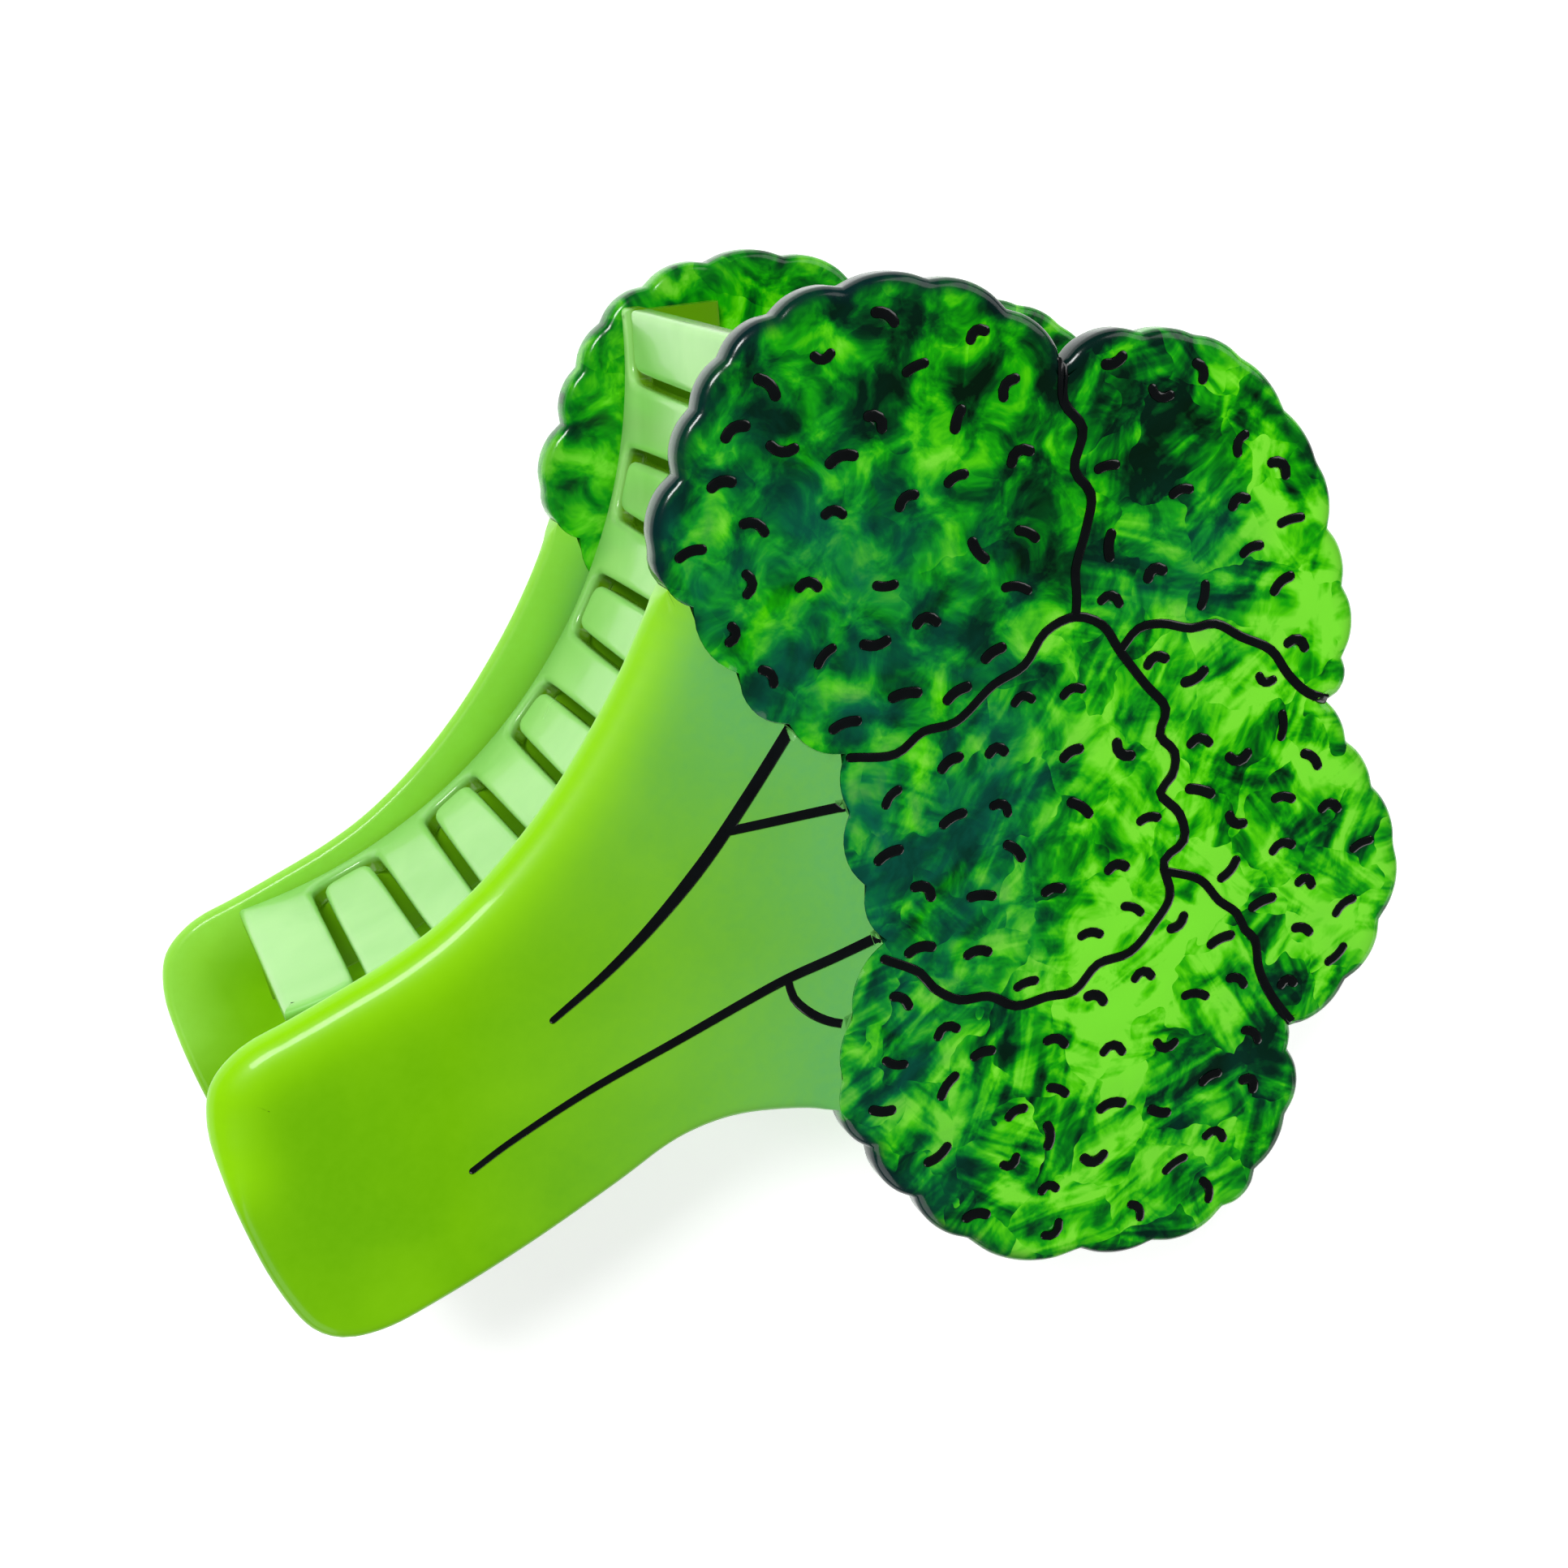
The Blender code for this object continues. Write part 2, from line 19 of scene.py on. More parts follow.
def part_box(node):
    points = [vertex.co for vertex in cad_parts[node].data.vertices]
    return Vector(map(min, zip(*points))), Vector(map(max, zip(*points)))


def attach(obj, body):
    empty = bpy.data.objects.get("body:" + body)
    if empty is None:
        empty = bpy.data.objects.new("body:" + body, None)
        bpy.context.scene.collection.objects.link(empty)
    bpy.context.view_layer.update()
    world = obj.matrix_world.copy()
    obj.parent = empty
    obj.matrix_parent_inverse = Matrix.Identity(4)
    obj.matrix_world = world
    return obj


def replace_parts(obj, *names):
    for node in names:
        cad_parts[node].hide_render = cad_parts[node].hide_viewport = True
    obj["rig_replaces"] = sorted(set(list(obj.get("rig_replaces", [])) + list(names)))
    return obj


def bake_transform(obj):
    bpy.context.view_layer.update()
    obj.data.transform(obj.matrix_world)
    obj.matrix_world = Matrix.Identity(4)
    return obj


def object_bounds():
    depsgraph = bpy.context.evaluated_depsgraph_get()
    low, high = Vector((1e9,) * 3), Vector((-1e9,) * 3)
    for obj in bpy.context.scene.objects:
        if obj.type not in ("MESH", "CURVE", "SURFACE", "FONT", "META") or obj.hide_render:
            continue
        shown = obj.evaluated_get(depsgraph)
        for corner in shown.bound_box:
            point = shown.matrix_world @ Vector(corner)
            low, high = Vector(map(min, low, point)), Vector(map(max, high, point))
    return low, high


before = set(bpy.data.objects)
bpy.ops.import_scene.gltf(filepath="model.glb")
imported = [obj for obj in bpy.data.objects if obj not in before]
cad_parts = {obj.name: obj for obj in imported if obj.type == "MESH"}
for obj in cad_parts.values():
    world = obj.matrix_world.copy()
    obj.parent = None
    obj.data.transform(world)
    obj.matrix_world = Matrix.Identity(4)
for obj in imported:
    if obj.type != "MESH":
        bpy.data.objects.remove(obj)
cad_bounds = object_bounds()

MM = 0.001
JAWS = ("lower", "upper")

# Camera, in the frame's millimetres
CAMERA_PLACE = (6.92, 92.35, 213.3)
CAMERA_TARGET = (2.86, 8.26, 18.0)
CAMERA_UP = (0.8283, 0.5082, -0.236)
CAMERA_LENS = 59.63

# Sheet finish
TOP_ROUND = (1.0, 0.9)
BACK_ROUND = (0.7, 0.7)
STEM_COMB_ROUND = (4.2, 2.1)
SPLICE_REACH = 0.55
SPLICE_SHRINK = 0.94
ROUND_STEPS = 6
GRID = 0.8
BACK_GRID = 2.5
MERGE_GAP = 0.002
SHEET_SHARP = 38
PIECE_SHARP = 50

# How deep and how wide the polish's unevenness is, and the soft hollow beside the crown's marks
WAVE = 0.16
WAVE_SIZE = 7.0
WAVE_SEED = 3.1
HOLLOW_DEPTH = 0.16
HOLLOW_REACH = 1.3

# Lacquer
GROOVE_DEPTH = 0.5
GROOVE_LIP = 0.08
SUPPORT_GAP = 0.25
INK_RECESS = 0.02
INK_DOME = 0.06
INK_RISE = ((0.08, 0.03), (0.2, 0.05))
INK_OVERLAP = 0.05
INK_RIM_GAP = 0.22

# Beans: how many places are tried, and which random series each jaw uses
BEAN_TRIES = 9000
BEAN_SEEDS = {"upper": 17, "lower": 23}
BEAN_RADIUS = 0.33
BEAN_SPACING = 3.85
BEAN_RIM_GAP = 2.3
BEAN_SEAM_GAP = 1.4
BEAN_HEADING = -0.94

# Crown and stem colouring: how leafy each floret is, how far the stem's milk reaches, and how far its
# painted edge highlight reaches
FLORET_LEAFINESS = (0.7, 0.25, 0.8, 1.0, 1.0)
MILK_REACH = 11.0
EDGE_HIGHLIGHT_REACH = 3.4

# Comb
COMB_CENTRE = (-2.66, 71.75)
COMB_RADIUS = 45.3
COMB_WALL = 2.2
COMB_FOOT = 6.0
COMB_FOOT_THICKNESS = 1.5
COMB_FOOT_ROUND = 0.35
COMB_FOOT_SINK = 0.3
COMB_FOOT_STEPS = 48
COMB_ROUND = (0.75, 0.55)
COMB_WAVE = 0.08
COMB_WAVE_SIZE = 9.0
COMB_WAVE_SEED = 5.7

# Spring
COIL_RADIUS = 2.9
COIL_TURNS = 8
COIL_PITCH = 1.45
WIRE_RADIUS = 0.5
LEG_REACH = 4.6
LEG_POINTS = 7
TURN_POINTS = 30
WIRE_SIDES = 12

# Studio, in metres and watts: each softbox has a place, a size and a power
FLOOR_SIZE = 4.0
FLOOR_GLOW = 0.5
WORLD_SHOWN = 1.0
WORLD_LIGHT = 0.08
SOFTBOXES = [
    ((0.12, 0.5, 0.62), 0.2, 4.4),
    ((-0.6, -0.1, 0.42), 0.5, 1.9),
    ((0.6, -0.1, 0.42), 0.5, 1.9),
    ((0.0, -0.75, 0.3), 0.4, 0.9),
]

# Engraved lines in plan, in millimetres from the middle of the box, each with its width at the
# start, middle and end. Seams part the crown's five florets; veins run along the stem.
SEAMS = [
    (
        (0.55, 0.62, 0.6),
        [
            (7.6, 12.8), (9.8, 9.8), (12.3, 9.0), (14.3, 7.2), (18.3, 6.3), (20.8, 5.1),
            (23.8, 5.2), (26.1, 3.8), (26.8, 1.5), (26.0, -1.0), (25.1, -4.5), (24.5, -7.2),
            (22.6, -8.0), (22.2, -10.0), (20.6, -11.0), (19.0, -10.9), (18.5, -13.5),
            (17.0, -15.2), (14.8, -14.7), (12.8, -17.0), (10.3, -17.2), (7.3, -16.8),
            (5.1, -15.0), (2.3, -14.6), (0.8, -12.9), (-1.2, -11.0), (-1.7, -8.5), (-3.2, -6.5),
            (-3.5, -4.0), (-3.1, -2.3), (-3.7, 0.9),
        ],
    ),
    (
        (0.66, 0.62, 0.6),
        [
            (41.0, 16.6), (38.4, 14.6), (37.7, 12.1), (34.9, 10.8), (34.2, 8.5), (31.9, 7.2),
            (28.9, 6.0), (27.4, 4.7), (26.1, 3.8),
        ],
    ),
    (
        (0.55, 0.6, 0.66),
        [
            (26.0, -1.0), (28.2, -1.2), (29.6, -2.6), (30.7, -5.0), (32.1, -6.5), (32.5, -9.0),
            (33.1, -12.0), (32.4, -14.5), (32.2, -17.0), (33.2, -20.0),
        ],
    ),
    (
        (0.55, 0.6, 0.7),
        [
            (14.2, -15.4), (15.2, -18.5), (14.7, -21.0), (14.7, -23.0), (14.0, -24.5),
            (13.8, -25.8), (12.0, -27.8), (10.7, -30.5), (9.7, -34.6),
        ],
    ),
]  # fmt: skip
VEINS = [
    (
        (0.45, 0.95, 0.9),
        [(-20.7, 20.8), (-16.2, 19.5), (-11.2, 18.5), (-5.2, 17.9), (0.8, 17.9), (8.2, 18.2)],
    ),
    ((0.62, 0.66, 0.7), [(-2.2, 17.9), (1.3, 14.2), (4.9, 10.4)]),
    (
        (0.42, 0.62, 0.8),
        [
            (-33.4, 19.4), (-30.2, 18.2), (-24.2, 15.4), (-17.2, 11.5), (-9.2, 7.0), (-5.7, 4.6),
            (-2.4, 2.4),
        ],
    ),
    (
        (0.5, 0.6, 0.6),
        [(-8.9, 6.8), (-9.9, 5.5), (-10.2, 3.5), (-9.9, 1.6), (-9.3, 0.2)],
    ),
]  # fmt: skip
# The crown's marbling and painted light: soft patches, each (x, y, size, brightness, teal), in
# millimetres from the middle of the box. The tone and teal are partly the acetate's own marbling
# and partly painted light: brighter where light shines through, darker and teal where the clip's
# inside lies behind.
PATCHES = [
    (20.7, 35.5, 6, 0.34, 0.35), (33.3, 31.6, 6, 0.30, 0.1), (36.7, 22.3, 5, 0.45, 0.0),
    (29.6, 21.0, 6, 0.48, 0.0), (32.6, 13.8, 5, 0.14, 0.1), (21.9, 19.4, 6, 0.34, 0.85),
    (12.2, 29.3, 6, 0.40, 0.6), (10.1, 18.5, 5, 0.36, 0.85), (17.6, 11.9, 5, 0.46, 0.5),
    (5.5, 8.7, 6, 0.34, 1.0), (9.8, 1.7, 6, 0.44, 0.8), (22.6, -1.7, 5, 0.66, 0.1),
    (11.5, -8.1, 5, 0.56, 0.0), (9.5, -15.7, 4, 0.80, 0.0), (0.7, -5.0, 5, 0.50, 0.6),
    (38.2, 7.1, 6, 0.24, 0.1), (46.7, -2.1, 5, 0.70, 0.0), (39.2, -11.0, 6, 0.95, 0.0),
    (33.7, -2.2, 5, 0.42, 0.5), (27.6, -6.5, 4, 0.55, 0.1), (28.5, -17.2, 5, 0.76, 0.0),
    (23.6, -26.7, 6, 0.72, 0.1), (20.6, -16.0, 5, 0.80, 0.0), (-8.6, -1.4, 5, 0.34, 0.8),
    (-4.9, -12.5, 5, 0.62, 0.1), (4.5, -19.3, 5, 0.95, 0.0), (-10.6, -20.7, 5, 0.55, 0.1),
    (1.7, -32.5, 6, 0.50, 0.2), (-13.7, -9.5, 5, 0.42, 0.45),
]  # fmt: skip
SEAM_NODES = ("floret_seams",)
VEIN_NODES = ("long_vein", "short_vein")


# Outlines from the CAD nodes


def slice_loops(points, triangles, axis, level):
    """The closed loops where a mesh crosses a plane, as lists of 2-D points."""
    u, v = [k for k in range(3) if k != axis]
    ends = {}
    for triangle in triangles:
        crossings = []
        for a, b in ((0, 1), (1, 2), (2, 0)):
            i, j = sorted((triangle[a], triangle[b]))
            low, high = points[i][axis] - level, points[j][axis] - level
            if (low < 0) != (high < 0):
                share = low / (low - high)
                spot = points[i] * (1 - share) + points[j] * share
                crossings.append((i, j))
                ends.setdefault((i, j), {"at": (spot[u], spot[v]), "to": set()})
        if len(crossings) == 2:
            ends[crossings[0]]["to"].add(crossings[1])
            ends[crossings[1]]["to"].add(crossings[0])
    loops = []
    left = dict(ends)
    while left:
        _, item = left.popitem()
        loop = [item["at"]]
        while True:
            following = [other for other in item["to"] if other in left]
            if not following:
                break
            item = left.pop(following[0])
            loop.append(item["at"])
        loops.append(np.array(loop))
    return loops


def tidy_loop(loop, least=0.05):
    """The loop in millimetres, running anticlockwise, without points closer than `least`."""
    loop = loop / MM
    area = 0.5 * np.sum(loop[:, 0] * np.roll(loop[:, 1], -1) - loop[:, 1] * np.roll(loop[:, 0], -1))
    if area < 0:
        loop = loop[::-1]
    kept = [loop[0]]
    for point in loop[1:]:
        if np.linalg.norm(point - kept[-1]) > least and np.linalg.norm(point - loop[0]) > least:
            kept.append(point)
    # A point in the middle of a straight run is an accident of the triangles.
    clean = []
    for index, point in enumerate(kept):
        before = point - kept[index - 1]
        after = kept[(index + 1) % len(kept)] - point
        cross = before[0] * after[1] - before[1] * after[0]
        if abs(cross) > 0.004 * np.linalg.norm(before) * np.linalg.norm(after):
            clean.append(point)
    return np.array(clean)


def outline_of(node, axis=2):
    """A CAD node's largest outline half way through its thickness, in millimetres."""
    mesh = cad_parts[node].data
    mesh.calc_loop_triangles()
    points = np.array([vertex.co[:] for vertex in mesh.vertices])
    triangles = [tuple(t.vertices) for t in mesh.loop_triangles]
    merged, index = np.unique(np.round(points, 7), axis=0, return_inverse=True)
    index = index.reshape(-1)
    triangles = [tuple(index[k] for k in t) for t in triangles]
    low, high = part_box(node)
    level = (low[axis] + high[axis]) / 2 + 1.3e-6
    loops = slice_loops(merged, triangles, axis, level)
    return tidy_loop(max(loops, key=lambda loop: np.ptp(loop[:, 0]) * np.ptp(loop[:, 1])))


def spline_between(points, spacing):
    """A centripetal Catmull-Rom curve through open points, sampled about every `spacing`."""
    points = [np.array(p, float) for p in points]
    if len(points) == 2:
        count = max(1, round(np.linalg.norm(points[1] - points[0]) / spacing))
        return [points[0] + (points[1] - points[0]) * k / count for k in range(count)] + [points[1]]
    knots = [2 * points[0] - points[1]] + points + [2 * points[-1] - points[-2]]
    curve = []
    for a, b, c, d in zip(knots, knots[1:], knots[2:], knots[3:]):
        t1 = math.sqrt(np.linalg.norm(b - a))
        t2 = t1 + math.sqrt(np.linalg.norm(c - b))
        t3 = t2 + math.sqrt(np.linalg.norm(d - c))
        count = max(1, round(np.linalg.norm(c - b) / spacing))
        for k in range(count):
            t = t1 + (t2 - t1) * k / count
            ab = a + (b - a) * t / t1
            bc = b + (c - b) * (t - t1) / (t2 - t1)
            cd = c + (d - c) * (t - t2) / (t3 - t2)
            abc = ab + (bc - ab) * t / t2
            bcd = bc + (cd - bc) * (t - t1) / (t3 - t1)
            curve.append(abc + (bcd - abc) * (t - t1) / (t2 - t1))
    return curve + [points[-1]]


def round_out(loop, spacing, hollow, sharp):
    """A closed outline made smooth between its corners. A corner turns inwards by more than
    `hollow` degrees, or outwards by more than `sharp`."""
    count = len(loop)
    corners = []
    for index in range(count):
        before = loop[index] - loop[index - 1]
        after = loop[(index + 1) % count] - loop[index]
        cross = before[0] * after[1] - before[1] * after[0]
        turn = math.degrees(math.atan2(cross, before @ after))
        if turn < -hollow or turn > sharp:
            corners.append(index)
    if not corners:
        closed = np.vstack([loop[-1:], loop, loop[:2]])
        return np.array(spline_between(closed, spacing)[:-1])
    smooth = []
    for first, last in zip(corners, corners[1:] + [corners[0] + count]):
        run = [loop[k % count] for k in range(first, last + 1)]
        smooth += spline_between(run, spacing)[:-1]
    return np.array(smooth)


# Distances in plan


def distance_to_line(points, line):
    """Each point's distance to a polyline, and how far along the line its nearest place is."""
    points = np.asarray(points)
    line = np.asarray(line)
    best = np.full(len(points), 1e9)
    along = np.zeros(len(points))
    lengths = np.linalg.norm(np.diff(line, axis=0), axis=1)
    total = lengths.sum()
    passed = 0.0
    for start, end, length in zip(line[:-1], line[1:], lengths):
        way = end - start
        share = np.clip(((points - start) @ way) / max(way @ way, 1e-9), 0, 1)
        gap = np.linalg.norm(points - start - share[:, None] * way, axis=1)
        nearer = gap < best
        best[nearer] = gap[nearer]
        along[nearer] = (passed + share[nearer] * length) / total
        passed += length
    return best, along


def distance_to_loop(points, loop):
    """Each point's distance to a closed outline."""
    return distance_to_line(points, np.vstack([loop, loop[:1]]))[0]


def nearest_gap(points, others):
    """Each point's distance to the nearest of some other points."""
    return np.min(np.linalg.norm(points[:, None, :] - others[None, :, :], axis=2), axis=1)


def inside(points, loop):
    """Which points lie inside a closed outline."""
    x, y = points[:, 0], points[:, 1]
    found = np.zeros(len(points), bool)
    for (x0, y0), (x1, y1) in zip(loop, np.roll(loop, -1, axis=0)):
        crosses = (y0 > y) != (y1 > y)
        if y0 != y1:
            found ^= crosses & (x < (x1 - x0) * (y - y0) / (y1 - y0) + x0)
    return found


def half_width(widths, along):
    """Half a line's width at a share of its length, from its start, middle and end widths."""
    start, middle, end = widths
    return 0.5 * np.interp(along, (0.0, 0.5, 1.0), (start, middle, end))


class Marks:
    """The black marks on one plate: engraved lines, and beans. Each is a path with widths."""

    def __init__(self, lines):
        self.paths = [(widths, np.array(spline_between(points, 0.7))) for widths, points in lines]

    def add_bean(self, path, radius):
        self.paths.append(((2 * radius,) * 3, np.array(path)))

    def gap(self, points):
        """Each point's distance to the nearest mark's edge: below zero inside a mark."""
        points = np.asarray(points, float)
        best = np.full(len(points), 1e3)
        for widths, path in self.paths:
            low = path.min(0) - 3.0
            high = path.max(0) + 3.0
            near = np.all((points >= low) & (points <= high), axis=1)
            if near.any():
                distance, along = distance_to_line(points[near], path)
                best[near] = np.minimum(best[near], distance - half_width(widths, along))
        return best


def ribbon(path, widths, grow, steps=5):
    """A closed outline round a path, `grow` outside the mark's own edge, with round ends."""
    path = np.asarray(path)
    lengths = np.r_[0, np.cumsum(np.linalg.norm(np.diff(path, axis=0), axis=1))]
    half = half_width(widths, lengths / lengths[-1]) + grow
    ways = np.gradient(path, axis=0)
    ways /= np.linalg.norm(ways, axis=1)[:, None]
    across = np.c_[-ways[:, 1], ways[:, 0]]
    right = path - across * half[:, None]
    left = path + across * half[:, None]

    def cap(centre, way, side, size):
        angles = [math.pi * k / (steps + 1) for k in range(1, steps + 1)]
        return [centre + size * (side * math.cos(a) + way * math.sin(a)) for a in angles]

    end_cap = cap(path[-1], ways[-1], -across[-1], half[-1])
    start_cap = cap(path[0], -ways[0], across[0], half[0])
    return np.array(list(right) + end_cap + list(left[::-1]) + start_cap)


def scatter_beans(marks, outline, seed):
    """Bean-shaped marks spread evenly over the crown, clear of its rim and seams."""
    rng = random.Random(seed)
    low, high = outline.min(0), outline.max(0)
    tries = np.array([[rng.uniform(low[k], high[k]) for k in (0, 1)] for _ in range(BEAN_TRIES)])
    tries = tries[inside(tries, outline)]
    rim = distance_to_loop(tries, outline)
    tries = tries[(rim > BEAN_RIM_GAP) & (marks.gap(tries) > BEAN_SEAM_GAP)]
    kept = []
    for spot in tries:
        if all((spot[0] - x) ** 2 + (spot[1] - y) ** 2 > BEAN_SPACING**2 for x, y in kept):
            kept.append(spot)
    for x, y in kept:
        heading = rng.gauss(BEAN_HEADING, 0.6)
        bend = rng.choice((-1, -1, -1, 1)) * rng.uniform(0.2, 1.3)
        length = rng.uniform(1.4, 2.0)
        path = []
        for k in range(5):
            share = k / 4 - 0.5
            turn = heading + bend * share
            path.append((x + length * share * math.cos(turn), y + length * share * math.sin(turn)))
        marks.add_bean(path, BEAN_RADIUS * rng.uniform(0.88, 1.12))


# Sheets


def inset(loop, distances):
    """A closed anticlockwise outline moved inwards by each point's own distance."""
    before = loop - np.roll(loop, 1, axis=0)
    after = np.roll(loop, -1, axis=0) - loop
    before /= np.linalg.norm(before, axis=1)[:, None]
    after /= np.linalg.norm(after, axis=1)[:, None]
    normal = np.c_[-(before[:, 1] + after[:, 1]), before[:, 0] + after[:, 0]]
    normal /= np.linalg.norm(normal, axis=1)[:, None]
    across = np.maximum(0.75, normal[:, 0] * -before[:, 1] + normal[:, 1] * before[:, 0])
    return loop + normal * (distances / across)[:, None]


def hexagons(loop, spacing):
    """A hexagonal grid of points inside an outline, kept off its edge."""
    low, high = loop.min(0), loop.max(0)
    rows = np.arange(low[1], high[1], spacing * math.sqrt(3) / 2)
    columns = np.arange(low[0], high[0], spacing)
    grid = np.array([(x + spacing / 2 * (k % 2), y) for k, y in enumerate(rows) for x in columns])
    grid = grid[inside(grid, loop)]
    return grid[distance_to_loop(grid, loop) > 0.45 * spacing]


def triangulate(loop, features, grid):
    """Triangles inside an outline that follow the closed feature loops and use the grid points."""
    verts = [Vector(p) for p in loop]
    edges = []
    for feature in features:
        start = len(verts)
        verts += [Vector(p) for p in feature]
        edges += [(start + k, start + (k + 1) % len(feature)) for k in range(len(feature))]
    verts += [Vector(p) for p in grid]
    border = [list(range(len(loop)))]
    points, _, faces, _, _, _ = delaunay_2d_cdt(verts, edges, border, 1, 1e-5)
    return np.array([tuple(p) for p in points]), [tuple(f) for f in faces]


def band_faces(first, levels, size):
    """Faces between rings of equal length whose points follow each other from `first` on."""
    faces = []
    for level in range(levels - 1):
        low = first + level * size
        for k in range(size):
            after = (k + 1) % size
            faces.append((low + k, low + after, low + size + after, low + size + k))
    return faces


def add_piece(name, points, faces, sharp, merge=0.0):
    """A smooth-shaded closed object from points in millimetres. Points nearer than `merge` become
    one, and edges that turn by more than `sharp` degrees stay crisp."""
    mesh = bpy.data.meshes.new(name)
    mesh.from_pydata([Vector(point) * MM for point in points], [], faces)
    work = bmesh.new()
    work.from_mesh(mesh)
    if merge:
        bmesh.ops.remove_doubles(work, verts=work.verts, dist=merge * MM)
    bmesh.ops.triangulate(work, faces=[face for face in work.faces if len(face.verts) > 4])
    bmesh.ops.recalc_face_normals(work, faces=work.faces)
    work.to_mesh(mesh)
    work.free()
    mesh.shade_smooth()
    mesh.set_sharp_from_angle(angle=math.radians(sharp))
    piece = bpy.data.objects.new(name, mesh)
    bpy.context.scene.collection.objects.link(piece)
    return piece


def tube(name, rings):
    """A closed body through rings of equal length."""
    size = len(rings[0])
    points = [point for ring in rings for point in ring]
    ends = [tuple(range(size)), tuple(range(len(points) - size, len(points)))]
    return add_piece(name, points, ends + band_faces(0, len(rings), size), PIECE_SHARP)


def sheet_mesh(name, loop, thickness, fronts, backs, relief, features, grids, place):
    """A closed sheet. fronts and backs give each outline point the width and depth of its rounded
    edge on each face, relief(points) how far the front sinks there, and place(x, y, depth) puts a
    point of the sheet in the frame, in millimetres."""
    rings = []
    for k in range(ROUND_STEPS + 1):
        angle = math.pi / 2 * k / ROUND_STEPS
        side = fronts[:, 0] * (1 - math.sin(angle))
        rings.append((inset(loop, side), fronts[:, 1] * (1 - math.cos(angle))))
    for k in range(ROUND_STEPS, -1, -2):
        angle = math.pi / 2 * k / ROUND_STEPS
        side = backs[:, 0] * (1 - math.sin(angle))
        rings.append((inset(loop, side), thickness - backs[:, 1] * (1 - math.cos(angle))))
    points = []
    for level, (ring, depth) in enumerate(rings):
        sink = relief(ring) * max(0.0, 1 - level / ROUND_STEPS)
        points += [(x, y, d) for (x, y), d in zip(ring, depth + sink)]
    faces = band_faces(0, len(rings), len(loop))
    front_flat = (rings[0][0], 0.0, features, grids[0])
    back_flat = (rings[-1][0], thickness, [], grids[1])
    for ring, depth, feature_loops, grid in (front_flat, back_flat):
        spots, triangles = triangulate(ring, feature_loops, grid)
        start = len(points)
        sink = relief(spots) if depth == 0.0 else np.zeros(len(spots))
        points += [(x, y, depth + s) for (x, y), s in zip(spots, sink)]
        faces += [tuple(start + k for k in t) for t in triangles]
    return add_piece(name, [place(*point) for point in points], faces, SHEET_SHARP, MERGE_GAP)


def dome(name, loops, low, place, surface):
    """Closed lacquer bodies: each outline filled from `low` under the surface to a domed top."""
    points = []
    faces = []
    for loop in loops:
        size = len(loop)
        rim = INK_RECESS + INK_DOME
        rings = [(loop, low), (loop, rim)]
        rings += [(inset(loop, np.full(size, side)), rim - rise) for side, rise in INK_RISE]
        start = len(points)
        under = surface(np.asarray(loop))
        for ring, depth in rings:
            points += [(x, y, depth + more) for (x, y), more in zip(ring, under)]
        faces.append(tuple(start + k for k in range(size)))
        faces += band_faces(start, len(rings), size)
        faces.append(tuple(len(points) - size + k for k in range(size)))
    return add_piece(name, [place(*point) for point in points], faces, PIECE_SHARP)


def jaw_place(jaw):
    """Puts a plan point at a depth below the jaw plate's outer face."""
    low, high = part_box(f"{jaw}_crown_plate")
    if jaw == "lower":
        return lambda x, y, depth: (x, y, low.z / MM + depth)
    return lambda x, y, depth: (x, y, high.z / MM - depth)


def waves(points, size, seed):
    """A gentle unevenness from hand polishing, 0 to 1."""
    found = [noise.noise(Vector((x / size, y / size, seed))) for x, y in points]
    return np.clip(0.5 + 0.5 * np.array(found), 0, 1)


def groove(gap):
    """How deep a groove is at a distance from its mark's edge."""
    share = np.clip((GROOVE_LIP - gap) / GROOVE_LIP, 0, 1)
    return GROOVE_DEPTH * share


def plate_piece(jaw, part, marks, rounds, finish, extra_replaced):
    """The fine sheet over a CAD plate, and the lacquer in its grooves."""
    node = f"{jaw}_{part}_plate"
    low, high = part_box(node)
    thickness = (high.z - low.z) / MM
    place = jaw_place(jaw)
    loop = OUTLINES[part]
    fronts, backs = rounds(loop)

    def relief(points):
        gap = marks.gap(points)
        hollow = HOLLOW_DEPTH * np.exp(-((np.maximum(gap, 0) / HOLLOW_REACH) ** 2))
        even = WAVE * waves(points, WAVE_SIZE, WAVE_SEED) + groove(gap)
        return even + hollow if part == "crown" else even

    def surface(points):
        """How deep the polished face lies, its rounded edge included."""
        gap = np.linalg.norm(points[:, None, :] - loop[None, :, :], axis=2)
        width, depth = fronts[np.argmin(gap, axis=1)].T
        share = 1 - np.clip(gap.min(1) / width, 0, 1)
        return depth * (1 - np.sqrt(1 - share**2)) + WAVE * waves(points, WAVE_SIZE, WAVE_SEED)

    top = inset(loop, fronts[:, 0])
    grid = hexagons(top, GRID)
    grid = grid[np.abs(marks.gap(grid) - 0.1) > 0.4]
    features = []
    for widths, path in marks.paths:
        for grow in (0.0, GROOVE_LIP, SUPPORT_GAP):
            feature = clip_to(ribbon(path, widths, grow), top)
            if feature is not None:
                features.append(feature)
    back = inset(loop, backs[:, 0])
    piece = sheet_mesh(
        f"{jaw}_{part}_sheet", loop, thickness, fronts, backs, relief, features,
        (grid, hexagons(back, BACK_GRID)), place,
    )  # fmt: skip
    piece.data.materials.append(finish)
    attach(piece, f"{jaw}_jaw")
    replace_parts(piece, node)
    brink = inset(loop, INK_RIM_GAP * np.minimum(1.0, fronts[:, 0] / TOP_ROUND[0]))
    ink_loops = [clip_to(ribbon(path, widths, INK_OVERLAP), brink) for widths, path in marks.paths]
    ink = dome(f"{jaw}_{part}_lacquer", ink_loops, GROOVE_DEPTH + 0.02, place, surface)
    ink.data.materials.append(MATERIALS["lacquer"])
    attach(ink, f"{jaw}_jaw")
    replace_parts(ink, *[f"{jaw}_{name}" for name in extra_replaced])
    return piece, ink


